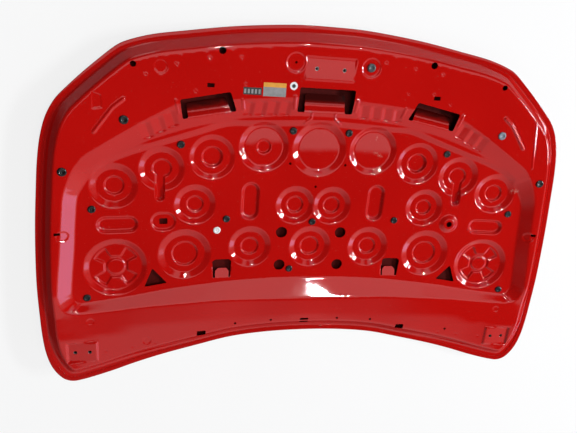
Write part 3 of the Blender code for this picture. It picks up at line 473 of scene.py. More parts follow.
def hole_loops():
    """Every hole through the inner panel."""
    loops = []
    for x, y, r in PAIRED_HOLES:
        loops += [circle(s * x, y, r, 10 if r < 5 else 28) for s in (1, -1)]
    loops += [circle(x, y, r, 10 if r < 5 else 24) for x, y, r in SINGLE_HOLES]
    for x, y, a, b in PAIRED_SLOTS:
        loops += [rounded(box_loop(s * x, y, a, b), 1.5, 2) for s in (1, -1)]
    for x, y, a, b in SINGLE_SLOTS:
        loops.append(rounded(box_loop(x, y, a, b), 1.5 if a < 20 else 1.0, 2))
    tri = rounded(turned(TRIANGLE), 5.0, 3)
    loops += [tri, flipped(tri)]
    places = CLIPS + [(-x, y) for x, y in CLIPS] + CENTRE_CLIPS + [WHITE_PLUG]
    loops += [circle(x, y, CLIP_HOLE_R, 10) for x, y in places]
    loops += [circle(x, y, PLUG_HOLE_R, 14) for x, y in PLUGS]
    for (x, y, half_x, half_y), share, sides in ((HINGE_SEAT, HINGE_BOLT_SHARE, (-1, 1)),
                                                 (LATCH_SEAT, LATCH_BOLT_SHARE, (1,))):
        loops += [circle(s * x + k * half_x * share, y, BOLT_HOLE_R, 14) for s in sides for k in (-1, 1)]
    for mouth, flap, r in ((WINDOW_SIDE, TONGUE_SIDE, 5.0), (WINDOW_MID, TONGUE_MID, 5.0),
                           (TAB_HOLE, TAB, 2.5)):
        loop = densify(rounded(turned(mouth + flap[::-1]), r, 3), 6.0)
        loops.append(loop)
        if mouth is not WINDOW_MID:
            loops.append(flipped(loop))
    return loops


def tongue(grid, corners, start, ridges, painted_shade, deep=TONGUE_DEEP):
    """Slopes a tongue down from its rear edge to its front edge, and paints shade onto it towards the
    front.
    """
    a, b, c, d = [np.array(p, float) for p in corners]
    across, ahead = (d - a) / np.linalg.norm(d - a), (b + c - a - d) / 2
    length = np.linalg.norm(ahead)
    ahead /= length
    wide = [a - across * 6, b - across * 6 + ahead * 8, c + across * 6 + ahead * 8, d + across * 6]
    sj, si, xx, yy = around(wide)
    far = np.abs((xx - a[0]) * -across[1] + (yy - a[1]) * across[0]) / length
    level = start + (deep - start) * np.clip(far, 0, 1.2) ** 0.95
    for at, high_by in ridges:
        level = level + high_by * (1 - ease(np.abs(far - at) * length / 3.5))
    hit = inside_local(turned(wide), xx, yy)
    part = grid[sj, si]
    part[hit] = level[hit]
    # Painted shade on the tongue, darkest at its front end inside the opening
    part = PAINTED_SHADE[sj, si]
    part[hit] = ease((far - painted_shade[0]) / (painted_shade[1] - painted_shade[0]))[hit]


def dimpled(x, y, dimple):
    """Whether the cone at a place has a dimple."""
    return dimple > 0 and (x, y) != PLAIN_CONE


def press_recesses(grid):
    """Cones, pills, stars, the oval, the boss and the bolted seats."""
    for x, y, outer, floor, dimple in ALL_CONES:
        tilt = 0.0 if y < FRONT_ROW_Y else FRONT_LEFT_TILT if x == FRONT_LEFT else FRONT_TILT
        level = RAISED_CONE_LEVEL if abs(x) == RAISED_CONE_X else CONE_LEVEL
        press_round(grid, x, y, outer, floor, level, tilt)
    for x, y, half_long, half_wide, upright in PILLS:
        for s in (1, -1):
            press_loop(grid, pill_loop(s * x, y, half_long, half_wide, upright), PILL_WALL, CONE_LEVEL)
    for s in (1, -1):
        x, y = s * CONES[-1][0], CONES[-1][1]

        def lobes(xx, yy):
            middle = 1 - ease((np.hypot(xx - x, yy - y) - STAR_DISC_FLAT) / STAR_DISC_WALL)
            return STAR_LEVEL + (STAR_DISC_LEVEL - STAR_LEVEL) * middle
        press_loop(grid, star_loop(x, y), STAR_WALL, lobes)
    press_loop(grid, pill_loop(*OVAL, False), OVAL_WALL, FIELD_LEVEL - OVAL_DEPTH)
    press_round(grid, *BOSS, BOSS_LEVEL)
    for (x, y, half_x, half_y), sides in ((HINGE_SEAT, (1, -1)), (LATCH_SEAT, (1,))):
        for s in sides:
            height = crown(x, y) + frame_level(np.array([x]), np.array([y]))[0]
            loop = box_loop(s * x, y, half_x + SEAT_WALL, half_y + SEAT_WALL)
            press_loop(grid, loop, SEAT_WALL, lambda xx, yy: height - crown(xx, yy))


def press_details(grid):
    """Dimples, tongues, beads, impressions and weld marks."""
    for x, y, outer, floor, dimple in ALL_CONES:
        if dimpled(x, y, dimple):
            level = DEEP_DIMPLE_LEVEL if abs(x) == RAISED_CONE_X else DIMPLE_LEVEL
            press_round(grid, x, y, dimple, dimple - DIMPLE_WALL, level)
    x, y, half_long, half_wide = NECK
    for s in (1, -1):
        press_loop(grid, pill_loop(s * x, y, half_long, half_wide, True), NECK_WALL, DIMPLE_LEVEL)
        side_flap, tab = [[(s * px, py) for px, py in corners] for corners in (TONGUE_SIDE, TAB_BOX)]
        tongue(grid, side_flap, TONGUE_SIDE_START, RIDGES_SIDE, SHADE_SPAN_SIDE)
        tongue(grid, tab, FIELD_LEVEL, (), SHADE_SPAN_NEVER, FIELD_LEVEL - TAB_DROP)
        for points, width, height in PAIRED_BEADS:
            bump_line(grid, [(s * px, py) for px, py in points], width, height)
    bump_line(grid, *RIGHT_BEAD)
    tongue(grid, TONGUE_MID, TONGUE_MID_START, RIDGES_MID, SHADE_SPAN_MID)
    press_loop(grid, EMBOSS, 2.0, FRAME_LEVEL - EMBOSS_DEPTH)
    for place in IMPRESSIONS:
        step_round(grid, *place)
    for x, y in WELDS:
        bump_round(grid, x, y, 3.2, 1.8, 0.35)
        step_round(grid, x, y, 2.0, 1.6, -0.4)
    for x, y in REAR_WELDS:
        step_round(grid, x, y, 2.0, 1.8, -0.3)


def relief():
    """Level of the finished inner panel over the whole grid."""
    grid = blur(base_grid(), WALL_BLUR)
    for top, foot in PLEATS:
        for s in (1, -1):
            pleat(grid, (s * top[0], top[1]), (s * foot[0], foot[1]), s)
    for bead in MIDDLE_BEADS:
        bump_line(grid, *bead)
    press_recesses(grid)
    grid = blur(grid, EDGE_BLUR)
    press_details(grid)
    return blur(grid, EDGE_BLUR)


# How much painted shade darkens the red paint, filled in by the tongues, then the levels and their slopes
PAINTED_SHADE = np.zeros((NY, NX))
GRID = relief()
GY, GX = np.gradient(GRID, STEP)


def sample(field, xy):
    """Value of a grid field at plan points."""
    u = np.clip((xy[:, 0] - X0) / STEP, 0, NX - 1.001)
    v = np.clip((xy[:, 1] - Y0) / STEP, 0, NY - 1.001)
    i, j = u.astype(int), v.astype(int)
    a, b = u - i, v - j
    return ((1 - a) * (1 - b) * field[j, i] + a * (1 - b) * field[j, i + 1]
            + (1 - a) * b * field[j + 1, i] + a * b * field[j + 1, i + 1])


def up_normals(xy, flat=False):
    """Direction square to the panel, or to the plain crown."""
    nx = -2 * CROWN_X * xy[:, 0] * MM
    ny = -2 * CROWN_Y * (xy[:, 1] - Y_MID) * MM
    if not flat:
        nx, ny = nx - sample(GX, xy), ny - sample(GY, xy)
    n = np.stack([nx, ny, np.ones(len(xy))], 1)
    return n / np.linalg.norm(n, axis=1)[:, None]


def ring_faces(start, n):
    """Faces between a ring of n points and the ring after it."""
    return [(start + i, start + (i + 1) % n, start + n + (i + 1) % n, start + n + i) for i in range(n)]


def make_object(name, verts, faces, normals, material):
    """Links a mesh with its own smooth directions."""
    mesh = bpy.data.meshes.new(name)
    mesh.from_pydata([tuple(v) for v in verts], [], [tuple(int(i) for i in f) for f in faces])
    mesh.materials.append(material)
    mesh.shade_smooth()
    if normals is not None:
        mesh.normals_split_custom_set_from_vertices([tuple(n) for n in normals])
    obj = bpy.data.objects.new(name, mesh)
    bpy.context.scene.collection.objects.link(obj)
    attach(obj, "root")
    return obj


def mesh_points():
    """Plan points, close together only where the panel bends."""
    curve_x = np.abs(np.gradient(GX, STEP, axis=1))
    curve_y = np.abs(np.gradient(GY, STEP, axis=0))
    twist = np.abs(np.gradient(GX, STEP, axis=0))
    bend = np.maximum(np.maximum(curve_x, curve_y), twist)
    most, least = CELLS[0], CELLS[-1]
    ny, nx = (NY // most + 1) * most, (NX // most + 1) * most
    wide = np.zeros((ny, nx))
    wide[:NY, :NX] = bend
    corner = np.zeros((ny + 1, nx + 1), bool)
    live = np.ones((ny // most, nx // most), bool)
    for size in CELLS:
        sharpest = wide.reshape(ny // size, size, nx // size, size).max(axis=(1, 3))
        split = live & (sharpest * size > BEND_LIMIT)
        keep = live & ~split
        for j, i in zip(*np.where(keep)):
            corner[[j * size, j * size, (j + 1) * size, (j + 1) * size],
                   [i * size, (i + 1) * size, i * size, (i + 1) * size]] = True
        live = np.kron(split, np.ones((2, 2), bool)) if size > least else split
    pts = [np.argwhere(corner)[:, ::-1] * STEP + np.array([X0, Y0])]
    fine = np.argwhere(live) * least
    shifts = (0, least / 2, least)
    for dj, di in [(dj, di) for dj in shifts for di in shifts]:
        pts.append((fine + np.array([dj, di]))[:, ::-1] * STEP + np.array([X0, Y0]))
    return np.unique(np.round(np.concatenate(pts), 2), axis=0)


def middle_and_reach(loop):
    """Centre and radius of a ring of points."""
    middle = loop.mean(axis=0)
    return middle, np.linalg.norm(loop[0] - middle)


def crossed(loop):
    """Whether a ring runs over another pressed shape, so that it has no clear line there."""
    (x, y), r = middle_and_reach(loop)
    for cx, cy, outer, *rest in ALL_CONES:
        far = math.hypot(cx - x, cy - y)
        if far > 1.0 and abs(far - r) < outer + 1.0 and far < r + outer + 1.0:
            return True
    return abs(abs(x) - KEYHOLE_CONE[0]) < 1.0 and abs(y - KEYHOLE_CONE[1]) < 1.0


def edge_rings(blocked):
    """Rings along the foot and crest of round walls, where nothing crosses them."""
    kept = []
    for x, y, outer, floor, dimple in ALL_CONES:
        edges = [(outer, -2.0), (outer, 0.6), (floor, -0.8), (floor, 0.9)]
        if dimpled(x, y, dimple):
            edges += [(r, d) for r in (dimple, dimple - DIMPLE_WALL) for d in (-0.7, 0.7)]
        for loop in [circle(x, y, r + d, int(r * 1.6) + 8) for r, d in edges]:
            sj, si, xx, yy = around(loop, 3)
            middle, reach = middle_and_reach(loop)
            near = np.abs(np.hypot(xx - middle[0], yy - middle[1]) - reach) < 1.0
            if not (blocked[sj, si] & near).any() and not crossed(loop):
                kept.append((loop, sj, si, near))
    for loop, sj, si, near in kept:
        blocked[sj, si] |= near
    return [ring[0] for ring in kept]


def inner_panel(material):
    """The stamped inner panel, with the edges of its holes turned down by the sheet's thickness."""
    blocked = np.zeros((NY, NX), bool)
    fine = [turned(densify(loop, 4.0)) for loop in hole_loops()]
    for loop in fine:
        sj, si, xx, yy = around(loop, 3)
        blocked[sj, si] |= (away(loop, xx, yy) < 1.3) | inside_local(loop, xx, yy)
    rings = edge_rings(blocked)
    pts = mesh_points()
    i = np.clip(np.round((pts[:, 0] - X0) / STEP).astype(int), 0, NX - 1)
    j = np.clip(np.round((pts[:, 1] - Y0) / STEP).astype(int), 0, NY - 1)
    pts = pts[~blocked[j, i] & inside_points(inset(EDGE, 3.0), np.stack([XS[i], YS[j]], 1))]
    xy, tri = triangles(pts, [(EDGE, True)] + [(loop, True) for loop in fine + rings])
    middle = xy[tri].mean(axis=1)
    keep = inside_points(EDGE, middle)
    for loop in fine:
        keep &= ~inside_points(loop, middle)
    tri = tri[keep]
    verts = world_points(xy, sample(GRID, xy))
    normals = up_normals(xy)
    faces = tri.tolist()
    for loop in fine + [EDGE[::-1]]:
        start = len(verts)
        level = sample(GRID, loop)
        ring_top, ring_low = world_points(loop, level), world_points(loop, level - INNER_T)
        to = np.roll(loop, -1, axis=0) - np.roll(loop, 1, axis=0)
        side = np.stack([-to[:, 1], to[:, 0], np.zeros(len(loop))], 1)
        side /= np.linalg.norm(side, axis=1)[:, None] + 1e-9
        verts = np.concatenate([verts, ring_top, ring_low])
        normals = np.concatenate([normals, side, side])
        faces += ring_faces(start, len(loop))
    obj = make_object("inner_panel_fine", verts, faces, normals, material)
    # The tongues' painted shade, handed to the red paint as a point attribute
    painted_shade = obj.data.attributes.new("painted_shade", "FLOAT", "POINT")
    painted_shade.data.foreach_set("value", sample(PAINTED_SHADE, verts[:, :2] / MM + np.array([0.0, Y_MID])))
    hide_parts("inner_panel")


def outer_panel(material, inside):
    """The skin: hem, inner face and outer face."""
    r, end, top = HEM_ROUND, HEM_REACH, SKIN_T * 2 + HEM_GAP * 2 + INNER_T
    profile = [(6.0, 0.0), (r, 0.0)]
    profile += [(r - r * math.cos(a), r + r * math.sin(a)) for a in np.linspace(-1.3, 1.3, 7)]
    profile += [(r, top), (end * 0.5, top + 0.05), (end - 0.7, top), (end - 0.15, top - 0.2),
                (end, top - 0.6), (end, SKIN_T)]
    rings = [inset(OUT, d) for d, _ in profile]
    verts = np.concatenate([world_points(p, z) for p, (_, z) in zip(rings, profile)])
    n = len(OUT)
    faces = []
    for k in range(len(profile) - 1):
        faces += ring_faces(k * n, n)
    outward = np.stack([OUT[:, 0] - rings[0][:, 0], OUT[:, 1] - rings[0][:, 1], np.zeros(n)], 1)
    outward /= np.linalg.norm(outward, axis=1)[:, None]
    upward = up_normals(OUT, True)
    normals = []
    p = np.array(profile)
    for k in range(len(p)):
        a, b = p[max(k - 1, 0)], p[min(k + 1, len(p) - 1)]
        along, rise = (b - a) / np.linalg.norm(b - a)
        normals.append(outward * rise + upward * (along if k > 1 else -1.0))
    normals = np.concatenate(normals)
    normals /= np.linalg.norm(normals, axis=1)[:, None]
    xs, ys = np.arange(-720, 721, SKIN_STEP), np.arange(-580, 385, SKIN_STEP)
    shift = SKIN_STEP / 4
    pts = np.array([(x + (shift if k % 2 else -shift), y) for k, y in enumerate(ys) for x in xs])
    for loop, level, sign in ((rings[0], 0.0, -1), (rings[-1], SKIN_T, 1)):
        last_part = len(faces)
        clear = inside_points(inset(loop, 8.0), pts)
        xy, tri = triangles(pts[clear], [(loop, True)])
        tri = tri[inside_points(loop, xy[tri].mean(axis=1))]
        start = len(verts)
        verts = np.concatenate([verts, world_points(xy, level)])
        normals = np.concatenate([normals, up_normals(xy, True) * sign])
        faces += [tuple(start + f[::sign]) for f in tri]
    obj = make_object("outer_panel_fine", verts, faces, normals, material)
    # The faces added last are the skin's inner face, which takes the second material, darkened as painted
    # shade
    obj.data.materials.append(inside)
    for face in obj.data.polygons[last_part:]:
        face.material_index = 1
    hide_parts("outer_panel")


def lathe(name, profile, x, y, level, material, node, slot):
    """A round piece standing square on the crown."""
    verts, faces, sides = [], [], 28
    up = Vector((-2 * CROWN_X * x * MM, -2 * CROWN_Y * (y - Y_MID) * MM, 1)).normalized()
    turn = Vector((0, 0, 1)).rotation_difference(up).to_matrix()
    base = Vector(world_points(np.array([[x, y]]), np.array([level]))[0])
    for r, z in profile:
        for k in range(sides):
            t = 2 * math.pi * k / sides
            verts.append(base + turn @ Vector((r * math.cos(t), r * math.sin(t), z)) * MM)
    for k in range(len(profile) - 1):
        faces += ring_faces(k * sides, sides)
    faces.append(tuple(range((len(profile) - 1) * sides, len(profile) * sides)))
    obj = make_object(name, verts, faces, None, material)
    obj.data.set_sharp_from_angle(angle=math.radians(50))
    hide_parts(node)


class Nodes:
    """Short way to wire up a material or the surroundings."""

    def __init__(self, block):
        block.use_nodes = True
        self.tree = block.node_tree
        self.shader = self.tree.nodes.get("Principled BSDF")

    def new(self, kind, **values):
        node = self.tree.nodes.new(kind)
        for key, value in values.items():
            if key.startswith("in_"):
                node.inputs[key[3:].replace("_", " ")].default_value = value
            else:
                setattr(node, key, value)
        return node

    def link(self, value, socket):
        """Feeds a socket from another node or with a fixed value."""
        if isinstance(value, bpy.types.NodeSocket):
            self.tree.links.new(value, socket)
        else:
            socket.default_value = value

    def calc(self, kind, *values):
        node = self.new("ShaderNodeMath", operation=kind)
        for value, socket in zip(values, node.inputs):
            self.link(value, socket)
        return node.outputs[0]

    def noise(self, scale, detail=3.0, rough=0.55):
        place = self.new("ShaderNodeTexCoord")
        node = self.new("ShaderNodeTexNoise", in_Scale=scale, in_Detail=detail, in_Roughness=rough)
        self.link(place.outputs["Object"], node.inputs["Vector"])
        return node.outputs["Fac"]

    def ramp(self, value, stops):
        node = self.new("ShaderNodeValToRGB")
        self.link(value, node.inputs["Fac"])
        while len(node.color_ramp.elements) < len(stops):
            node.color_ramp.elements.new(0.5)
        for element, (at, colour) in zip(node.color_ramp.elements, stops):
            element.position = at
            element.color = (*colour, 1.0)
        return node.outputs["Color"]

    def mix(self, factor, a, b):
        node = self.new("ShaderNodeMix", data_type="RGBA")
        for value, name in ((factor, "Factor"), (a, "A"), (b, "B")):
            self.link(value, node.inputs[name])
        return node.outputs["Result"]

    def scuff(self, base, place, turn, reach):
        """Mixes a few pale scratches into a colour near one place."""
        coord = self.new("ShaderNodeTexCoord")
        local = self.new("ShaderNodeMapping", vector_type="TEXTURE", in_Location=(*place, 0.0),
                         in_Rotation=(0.0, 0.0, math.radians(turn)), in_Scale=(*reach, 1.0))
        self.link(coord.outputs["Object"], local.inputs["Vector"])
        far = self.new("ShaderNodeVectorMath", operation="LENGTH")
        self.link(local.outputs["Vector"], far.inputs[0])
        marks = self.new("ShaderNodeTexNoise", in_Scale=4.5, in_Detail=3.0)
        self.link(local.outputs["Vector"], marks.inputs["Vector"])
        near = self.ramp(far.outputs["Value"], [(0.5, (1, 1, 1)), (1.0, (0, 0, 0))])
        streaks = self.ramp(marks.outputs["Fac"], [(0.52, (0, 0, 0)), (0.60, (0.8, 0.8, 0.8))])
        return self.mix(self.calc("MULTIPLY", near, streaks), base, SCRATCH_COLOUR)

    def bump(self, value, strength, distance):
        node = self.new("ShaderNodeBump", in_Strength=strength, in_Distance=distance)
        self.link(value, node.inputs["Height"])
        self.link(node.outputs["Normal"], self.shader.inputs["Normal"])

    def set(self, **values):
        for key, value in values.items():
            self.shader.inputs[key.replace("_", " ")].default_value = value


# Pale colour of dust and scratches, then the near-black red of the painted shade on the tongues
SCRATCH_COLOUR, PAINTED_SHADE_COLOUR = (0.62, 0.30, 0.24, 1.0), (0.040, 0.0012, 0.0008, 1.0)
# Place in metres, turn in degrees, half length and half width in metres
SCUFFS = [((0.170, 0.166), -23.0, (0.019, 0.006)), ((0.160, 0.211), 80.0, (0.009, 0.003)),
          ((0.590, 0.080), 20.0, (0.014, 0.009))]


def red_paint(name, deep=1.0):
    """Glossy red body paint with orange peel, a few dust specks, faint wear, and painted shade on the
    tongues.
    """
    material = bpy.data.materials.new(name)
    n = Nodes(material)
    slow = n.noise(3.0, 2.0)
    base = n.ramp(slow, [(0.35, (0.485 * deep, 0.0024, 0.0013)), (0.65, (0.525 * deep, 0.0032, 0.0018))])
    speck = n.noise(520.0, 1.0, 0.4)
    dust = n.ramp(speck, [(0.775, (0, 0, 0)), (0.80, (0.55, 0.55, 0.55))])
    worn = n.mix(dust, base, SCRATCH_COLOUR)
    for place, turn, reach in SCUFFS:
        worn = n.scuff(worn, place, turn, reach)
    # Painted shade: the tongues turn near-black red towards the front of the openings
    painted_shade = n.new("ShaderNodeAttribute", attribute_name="painted_shade")
    n.link(n.mix(painted_shade.outputs["Fac"], worn, PAINTED_SHADE_COLOUR), n.shader.inputs["Base Color"])
    wear = n.noise(28.0, 5.0, 0.65)
    rough = n.ramp(wear, [(0.40, (0.30, 0.30, 0.30)), (0.72, (0.42, 0.42, 0.42))])
    n.link(rough, n.shader.inputs["Roughness"])
    n.set(Coat_Weight=1.0, Coat_Roughness=0.015, Coat_IOR=1.5, Specular_IOR_Level=0.0)
    n.bump(n.noise(260.0, 2.0), 0.035, 0.0006)
    return material


def plain_mat(name, low, high, rough, metal=0.0, scale=90.0, bump=0.12, gloss=0.5):
    """Moulded plastic or metal with fine variation."""
    material = bpy.data.materials.new(name)
    n = Nodes(material)
    grain = n.noise(scale, 4.0)
    n.link(n.ramp(grain, [(0.3, low), (0.7, high)]), n.shader.inputs["Base Color"])
    fine = n.noise(scale * 6, 3.0)
    stops = [(0.3, (rough - 0.06,) * 3), (0.7, (rough + 0.08,) * 3)]
    n.link(n.ramp(fine, stops), n.shader.inputs["Roughness"])
    n.set(Metallic=metal, Specular_IOR_Level=gloss)
    n.bump(fine, bump, 0.0003)
    return material


RED = red_paint("red_paint_fine")
RED_SKIN = red_paint("red_paint_skin_fine", 0.92)
DARK = plain_mat("clip_black", (0.005, 0.004, 0.004), (0.010, 0.009, 0.009), 0.12)
GREY = plain_mat("plug_grey", (0.16, 0.18, 0.22), (0.21, 0.23, 0.27), 0.42)
GREY_DARK = plain_mat("plug_grey_dark", (0.040, 0.046, 0.052), (0.060, 0.068, 0.076), 0.36)
# The skin's inner face: a dull thin coat of red, made much darker as painted shade for the closed space
# under the inner panel
CAVITY_SHADE = plain_mat("red_cavity_shade", (0.060, 0.0018, 0.0013), (0.085, 0.0026, 0.0018), 0.60, gloss=0.08)
WHITE = plain_mat("plug_white", (0.78, 0.78, 0.76), (0.88, 0.88, 0.87), 0.35)
ZINC = plain_mat("zinc_plate", (0.36, 0.37, 0.38), (0.50, 0.51, 0.52), 0.42, 1.0, 40.0)
STEEL = plain_mat("nut_steel_fine", (0.30, 0.30, 0.30), (0.46, 0.45, 0.43), 0.36, 1.0, 120.0)
MASTIC = plain_mat("mastic_black", (0.020, 0.020, 0.021), (0.045, 0.044, 0.043), 0.75, 0.0, 60.0, 0.4)

# Pads, nuts and plates keep the shape of their solids
for name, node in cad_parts.items():
    if name.startswith("mastic"):
        node.data.materials[0] = MASTIC
    elif "nut" in name:
        node.data.materials[0] = STEEL
    elif "plate" in name:
        node.data.materials[0] = ZINC

inner_panel(RED)
outer_panel(RED_SKIN, CAVITY_SHADE)

# Radius and height along a clip's or plug's side, from its stem up and in to the middle of its head
DOME = [(3.2, -9), (3.2, 0), (10, 0), (10, 0.9), (9.7, 1.6), (9, 2.4), (8, 3), (7, 3.3),
        (6.2, 3.1), (5.4, 2.2), (4.6, 1.3), (3.4, 1), (2.4, 1.1), (1.9, 1.9), (1.2, 2.3), (0.2, 2.4)]
FLAT = [(r, z * 0.6 if z > 0 else z) for r, z in DOME]
CUP = [(7.6, -4), (7.6, 0), (11, 0), (11, 0.8), (10.4, 1.7), (9, 2.3), (6.6, 2.4), (5.6, 2.1),
       (4.8, 1.3), (0.2, 1.2)]
COLLAR_GAP = 0.3
PLUG_KINDS = [("grey_plug_middle", "grey_plastic", GREY_DARK), ("grey_plug_right", "grey_plastic", GREY),
              ("dark_plug_left", "dark_plastic", DARK), ("side_plug_left", "dark_plastic", DARK),
              ("side_plug_right", "dark_plastic", DARK)]


def clips_and_plugs():
    """The push clips, the white plug and the five cup-shaped plugs."""
    level = FIELD_LEVEL + COLLAR_GAP
    places = [(s * x, y) for x, y in CLIPS for s in (1, -1)] + CENTRE_CLIPS
    for number, (x, y) in enumerate(places, 1):
        lathe("clip_%02d" % number, DOME, x, y, level, DARK, "push_clip_%02d" % number, "clip_plastic")
    lathe("plug_white", FLAT, *WHITE_PLUG, level, WHITE, "white_plug", "white_plastic")
    for (x, y), (node, slot, material) in zip(PLUGS, PLUG_KINDS):
        level = frame_level(np.array([x]), np.array([y]))[0] + COLLAR_GAP
        lathe(node + "_fine", CUP, x, y, level, material, node, slot)


clips_and_plugs()


def label(name, x0, x1, y0, y1, material, lift=0.15, disc=False):
    """A printed rectangle or disc, a fraction of a millimetre thick, that follows the panel, closed at its
    sides.
    """
    nx, ny = max(2, int((x1 - x0) / 4)), max(2, int((y1 - y0) / 4))
    u, v = np.meshgrid(np.linspace(-1, 1, nx + 1), np.linspace(-1, 1, ny + 1))
    if disc:
        u, v = u * np.sqrt(1 - v * v / 2), v * np.sqrt(1 - u * u / 2)
    across, along = (x0 + x1) / 2 + u * (x1 - x0) / 2, (y0 + y1) / 2 + v * (y1 - y0) / 2
    xy = np.stack([across.ravel(), along.ravel()], 1)
    level = sample(GRID, xy)
    n, row = len(xy), nx + 1
    verts = np.concatenate([world_points(xy, level + lift), world_points(xy, level + 0.02)])
    faces = [(j * row + i, j * row + i + 1, (j + 1) * row + i + 1, (j + 1) * row + i)
             for j in range(ny) for i in range(nx)]
    rim = list(range(nx)) + [j * row + nx for j in range(ny)] + [ny * row + i for i in range(nx, 0, -1)]
    rim += [j * row for j in range(ny, 0, -1)]
    faces += [(rim[k], rim[k - 1], n + rim[k - 1], n + rim[k]) for k in range(len(rim))]
    obj = make_object(name, verts, faces, None, material)
    obj.data.set_sharp_from_angle(angle=math.radians(40))


def build_labels():
    """The small labels in front of the middle opening, as plain fields and shapes."""
    ink = plain_mat("label_black", (0.012, 0.012, 0.013), (0.02, 0.02, 0.02), 0.45)
    grey = plain_mat("label_grey", (0.22, 0.22, 0.22), (0.30, 0.29, 0.29), 0.5)
    amber = plain_mat("label_amber", (0.72, 0.30, 0.02), (0.80, 0.36, 0.03), 0.45)
    pale = plain_mat("label_white", (0.80, 0.80, 0.79), (0.86, 0.86, 0.86), 0.45)
    label("label_dark", -218, -172, 215, 233, ink)
    label("label_field", -168, -110, 213, 246, grey)
    label("label_band", -168, -110, 236, 247, amber, 0.2)
    label("label_disc", -101, -81, 232, 252, pale, 0.15, True)
    label("label_centre", -96, -86, 237, 247, ink, 0.25, True)
    for k in range(5):
        label("label_mark_%d" % k, -216 + 9 * k, -211 + 9 * k, 218, 229, grey, 0.2)


build_labels()


DAYLIGHT, PLAIN_LIGHT = (0.95, 0.97, 1.0), (1, 1, 1)
# Name, direction, distance, width, height, radiance and colour
LAMPS = [("window_near", (0.752, 0.145, 0.643), 4.0, 0.58, 0.46, 66.0, DAYLIGHT),
         ("window_far", (0.770, -0.045, 0.636), 4.0, 0.46, 0.46, 66.0, DAYLIGHT),
         ("spot_right", (0.299, 0.277, 0.913), 4.0, 0.06, 0.06, 500.0, PLAIN_LIGHT),
         ("ceiling_left", (0.063, 0.314, 0.947), 4.0, 0.13, 0.12, 350.0, PLAIN_LIGHT),
         ("ceiling_right", (0.245, -0.008, 0.969), 40.0, 0.5, 0.5, 900.0, PLAIN_LIGHT)]


def lamp(name, direction, distance, size_x, size_y, radiance, colour):
    """A lamp with four corners that faces the middle of the panel."""
    light = bpy.data.lights.new(name, "AREA")
    light.shape = "RECTANGLE"
    light.size, light.size_y = size_x, size_y
    light.energy = math.pi * size_x * size_y * radiance
    light.color = colour
    obj = bpy.data.objects.new(name, light)
    bpy.context.scene.collection.objects.link(obj)
    d = Vector(direction).normalized()
    obj.location = d * distance
    obj.rotation_euler = d.to_track_quat("Z", "Y").to_matrix().to_euler()


# Bright patches of the surroundings: where each fades in and out across, the same along, and its level
PATCHES = (((-0.03, 0.02, 0.1, 0.15), (0.02, 0.08, 0.3, 0.36), 1.1),
           ((0.19, 0.235, 0.32, 0.36), (0.02, 0.08, 0.27, 0.33), 1.05),
           ((-0.5, 0.0, 0.45, 0.75), (-1.6, -1.5, -0.41, -0.28), 0.72),
           ((0.2, 0.6, 1.3, 1.4), (-1.6, -1.5, -0.35, -0.05), 1.0),
           ((-0.85, -0.6, 0.1, 0.3), (-1.6, -1.5, -0.41, -0.22), 0.36),
           ((0.45, 0.65, 1.3, 1.4), (-0.3, -0.1, 0.3, 0.45), 0.6),
           ((-0.4, -0.33, -0.2, -0.12), (0.7, 0.8, 1.5, 1.6), 1.5),
           ((0.2, 0.27, 0.42, 0.5), (0.7, 0.85, 1.5, 1.6), 1.5),
           ((-0.3, -0.1, 0.9, 1.2), (0.75, 0.9, 1.5, 1.6), 0.45))
CEILING = ((-0.05, 0.01, 0.33, 0.38), (-0.172, -0.168, 0.07, 0.13), 1.2)
OPENING = ((0.48, 0.62, 0.68, 0.82), (-0.52, -0.42, -0.34, -0.24), 4.2)
CEILING_SLANT, OPENING_TINT, DARKEST = 0.19, (0.74, 0.66, 1.0, 1), 0.05


def sky():
    """Studio surroundings: a dark left side, softer light behind, a ceiling patch and a bluish opening."""
    world = bpy.data.worlds.new("studio")
    bpy.context.scene.world = world
    n = Nodes(world)

    def soft(value, low, high):
        node = n.new("ShaderNodeMapRange", interpolation_type="SMOOTHSTEP", in_From_Min=low,
                     in_From_Max=high)
        n.link(value, node.inputs["Value"])
        return node.outputs["Result"]

    def band(value, a, b, c, d):
        return n.calc("MULTIPLY", soft(value, a, b), n.calc("SUBTRACT", 1.0, soft(value, c, d)))

    coord = n.new("ShaderNodeTexCoord")
    split = n.new("ShaderNodeSeparateXYZ")
    n.link(coord.outputs["Generated"], split.inputs[0])
    x, y, z = split.outputs
    spread = n.calc("SQRT", n.calc("MAXIMUM", n.calc("ADD", z, 1.0), 0.02))
    u, v = n.calc("DIVIDE", x, spread), n.calc("DIVIDE", y, spread)
    slant = n.calc("SUBTRACT", v, n.calc("MULTIPLY", u, CEILING_SLANT))
    across, along, level = CEILING
    ceiling = n.calc("MULTIPLY", band(u, *across), band(slant, *along))
    total = n.calc("MAXIMUM", n.calc("MULTIPLY", ceiling, level), DARKEST)
    for across, along, level in PATCHES:
        patch = n.calc("MULTIPLY", band(u, *across), band(v, *along))
        total = n.calc("MAXIMUM", n.calc("MULTIPLY", patch, level), total)
    across, along, level = OPENING
    opening = n.calc("MULTIPLY", band(u, *across), band(v, *along))
    total = n.calc("MAXIMUM", total, n.calc("MULTIPLY", opening, level))
    seen = n.new("ShaderNodeLightPath")
    strength = n.new("ShaderNodeMix", data_type="FLOAT", in_B=1.0)
    n.link(seen.outputs["Is Camera Ray"], strength.inputs["Factor"])
    n.link(total, strength.inputs["A"])
    back = n.tree.nodes["Background"]
    n.link(strength.outputs["Result"], back.inputs["Strength"])
    n.link(n.mix(opening, (1, 1, 1, 1), OPENING_TINT), back.inputs["Color"])


FLOOR_HALF, FLOOR_DROP, FLOOR_GLOW = 9.0, 0.0006, 0.80
# Where the floor's reflection turns from dark to pale, towards the bonnet's front edge
FLOOR_DARK_END, FLOOR_PALE_START = 0.30, 0.60


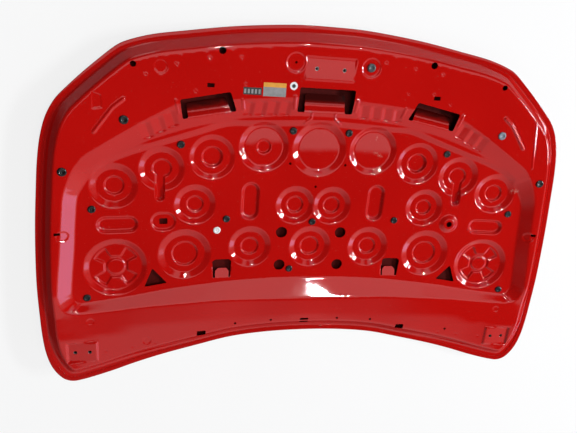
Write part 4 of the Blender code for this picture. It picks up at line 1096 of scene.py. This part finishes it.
def floor_piece():
    """The pale floor, which the panel reflects darker than it is seen."""
    mesh = bpy.data.meshes.new("floor")
    signs = ((-1, -1), (1, -1), (1, 1), (-1, 1))
    corners = [(x * FLOOR_HALF, y * FLOOR_HALF, -FLOOR_DROP) for x, y in signs]
    mesh.from_pydata(corners, [], [(0, 1, 2, 3)])
    material = bpy.data.materials.new("floor_pale")
    n = Nodes(material)
    path = n.new("ShaderNodeLightPath")
    coord = n.new("ShaderNodeTexCoord")
    split = n.new("ShaderNodeSeparateXYZ")
    n.link(coord.outputs["Object"], split.inputs[0])
    ahead = n.new("ShaderNodeMapRange", in_From_Min=FLOOR_DARK_END, in_From_Max=FLOOR_PALE_START)
    n.link(split.outputs["Y"], ahead.inputs["Value"])
    mirrored = n.ramp(ahead.outputs["Result"], [(0.0, (0.07, 0.07, 0.07)), (1.0, (0.55, 0.55, 0.55))])
    seen = n.ramp(n.noise(2.0), [(0.3, (0.86, 0.86, 0.86)), (0.7, (0.90, 0.90, 0.90))])
    n.link(n.mix(path.outputs["Is Camera Ray"], mirrored, seen), n.shader.inputs["Base Color"])
    n.set(Roughness=0.9, Specular_IOR_Level=0.1)
    glow = n.new("ShaderNodeEmission", in_Strength=1.0)
    part = n.calc("MULTIPLY", path.outputs["Is Camera Ray"], FLOOR_GLOW)
    mix = n.new("ShaderNodeMixShader")
    n.link(part, mix.inputs["Fac"])
    n.link(n.shader.outputs[0], mix.inputs[1])
    n.link(glow.outputs[0], mix.inputs[2])
    n.link(mix.outputs[0], n.tree.nodes["Material Output"].inputs["Surface"])
    mesh.materials.append(material)
    obj = bpy.data.objects.new("floor", mesh)
    bpy.context.scene.collection.objects.link(obj)


LENS = 33.256
CAMERA_RIGHT, CAMERA_UP = (0.97848, 0.07926, 0.1905), (-0.00942, 0.93949, -0.34246)
CAMERA_BACK, CAMERA_PLACE = (-0.20612, 0.33329, 0.92002), (-0.3775, 0.4784, 1.3887)


def aim_camera():
    """The camera at the place and with the lens of the photograph."""
    data = bpy.data.cameras.new("camera")
    data.sensor_width, data.lens, data.clip_end = 36.0, LENS, 60.0
    camera = bpy.data.objects.new("camera", data)
    bpy.context.scene.collection.objects.link(camera)
    columns = (CAMERA_RIGHT, CAMERA_UP, CAMERA_BACK, CAMERA_PLACE)
    camera.matrix_world = Matrix([[column[k] for column in columns] for k in range(3)] + [[0, 0, 0, 1]])
    bpy.context.scene.camera = camera


sky()
floor_piece()
for row in LAMPS:
    lamp(*row)
aim_camera()
bpy.context.scene.view_settings.view_transform = "Standard"
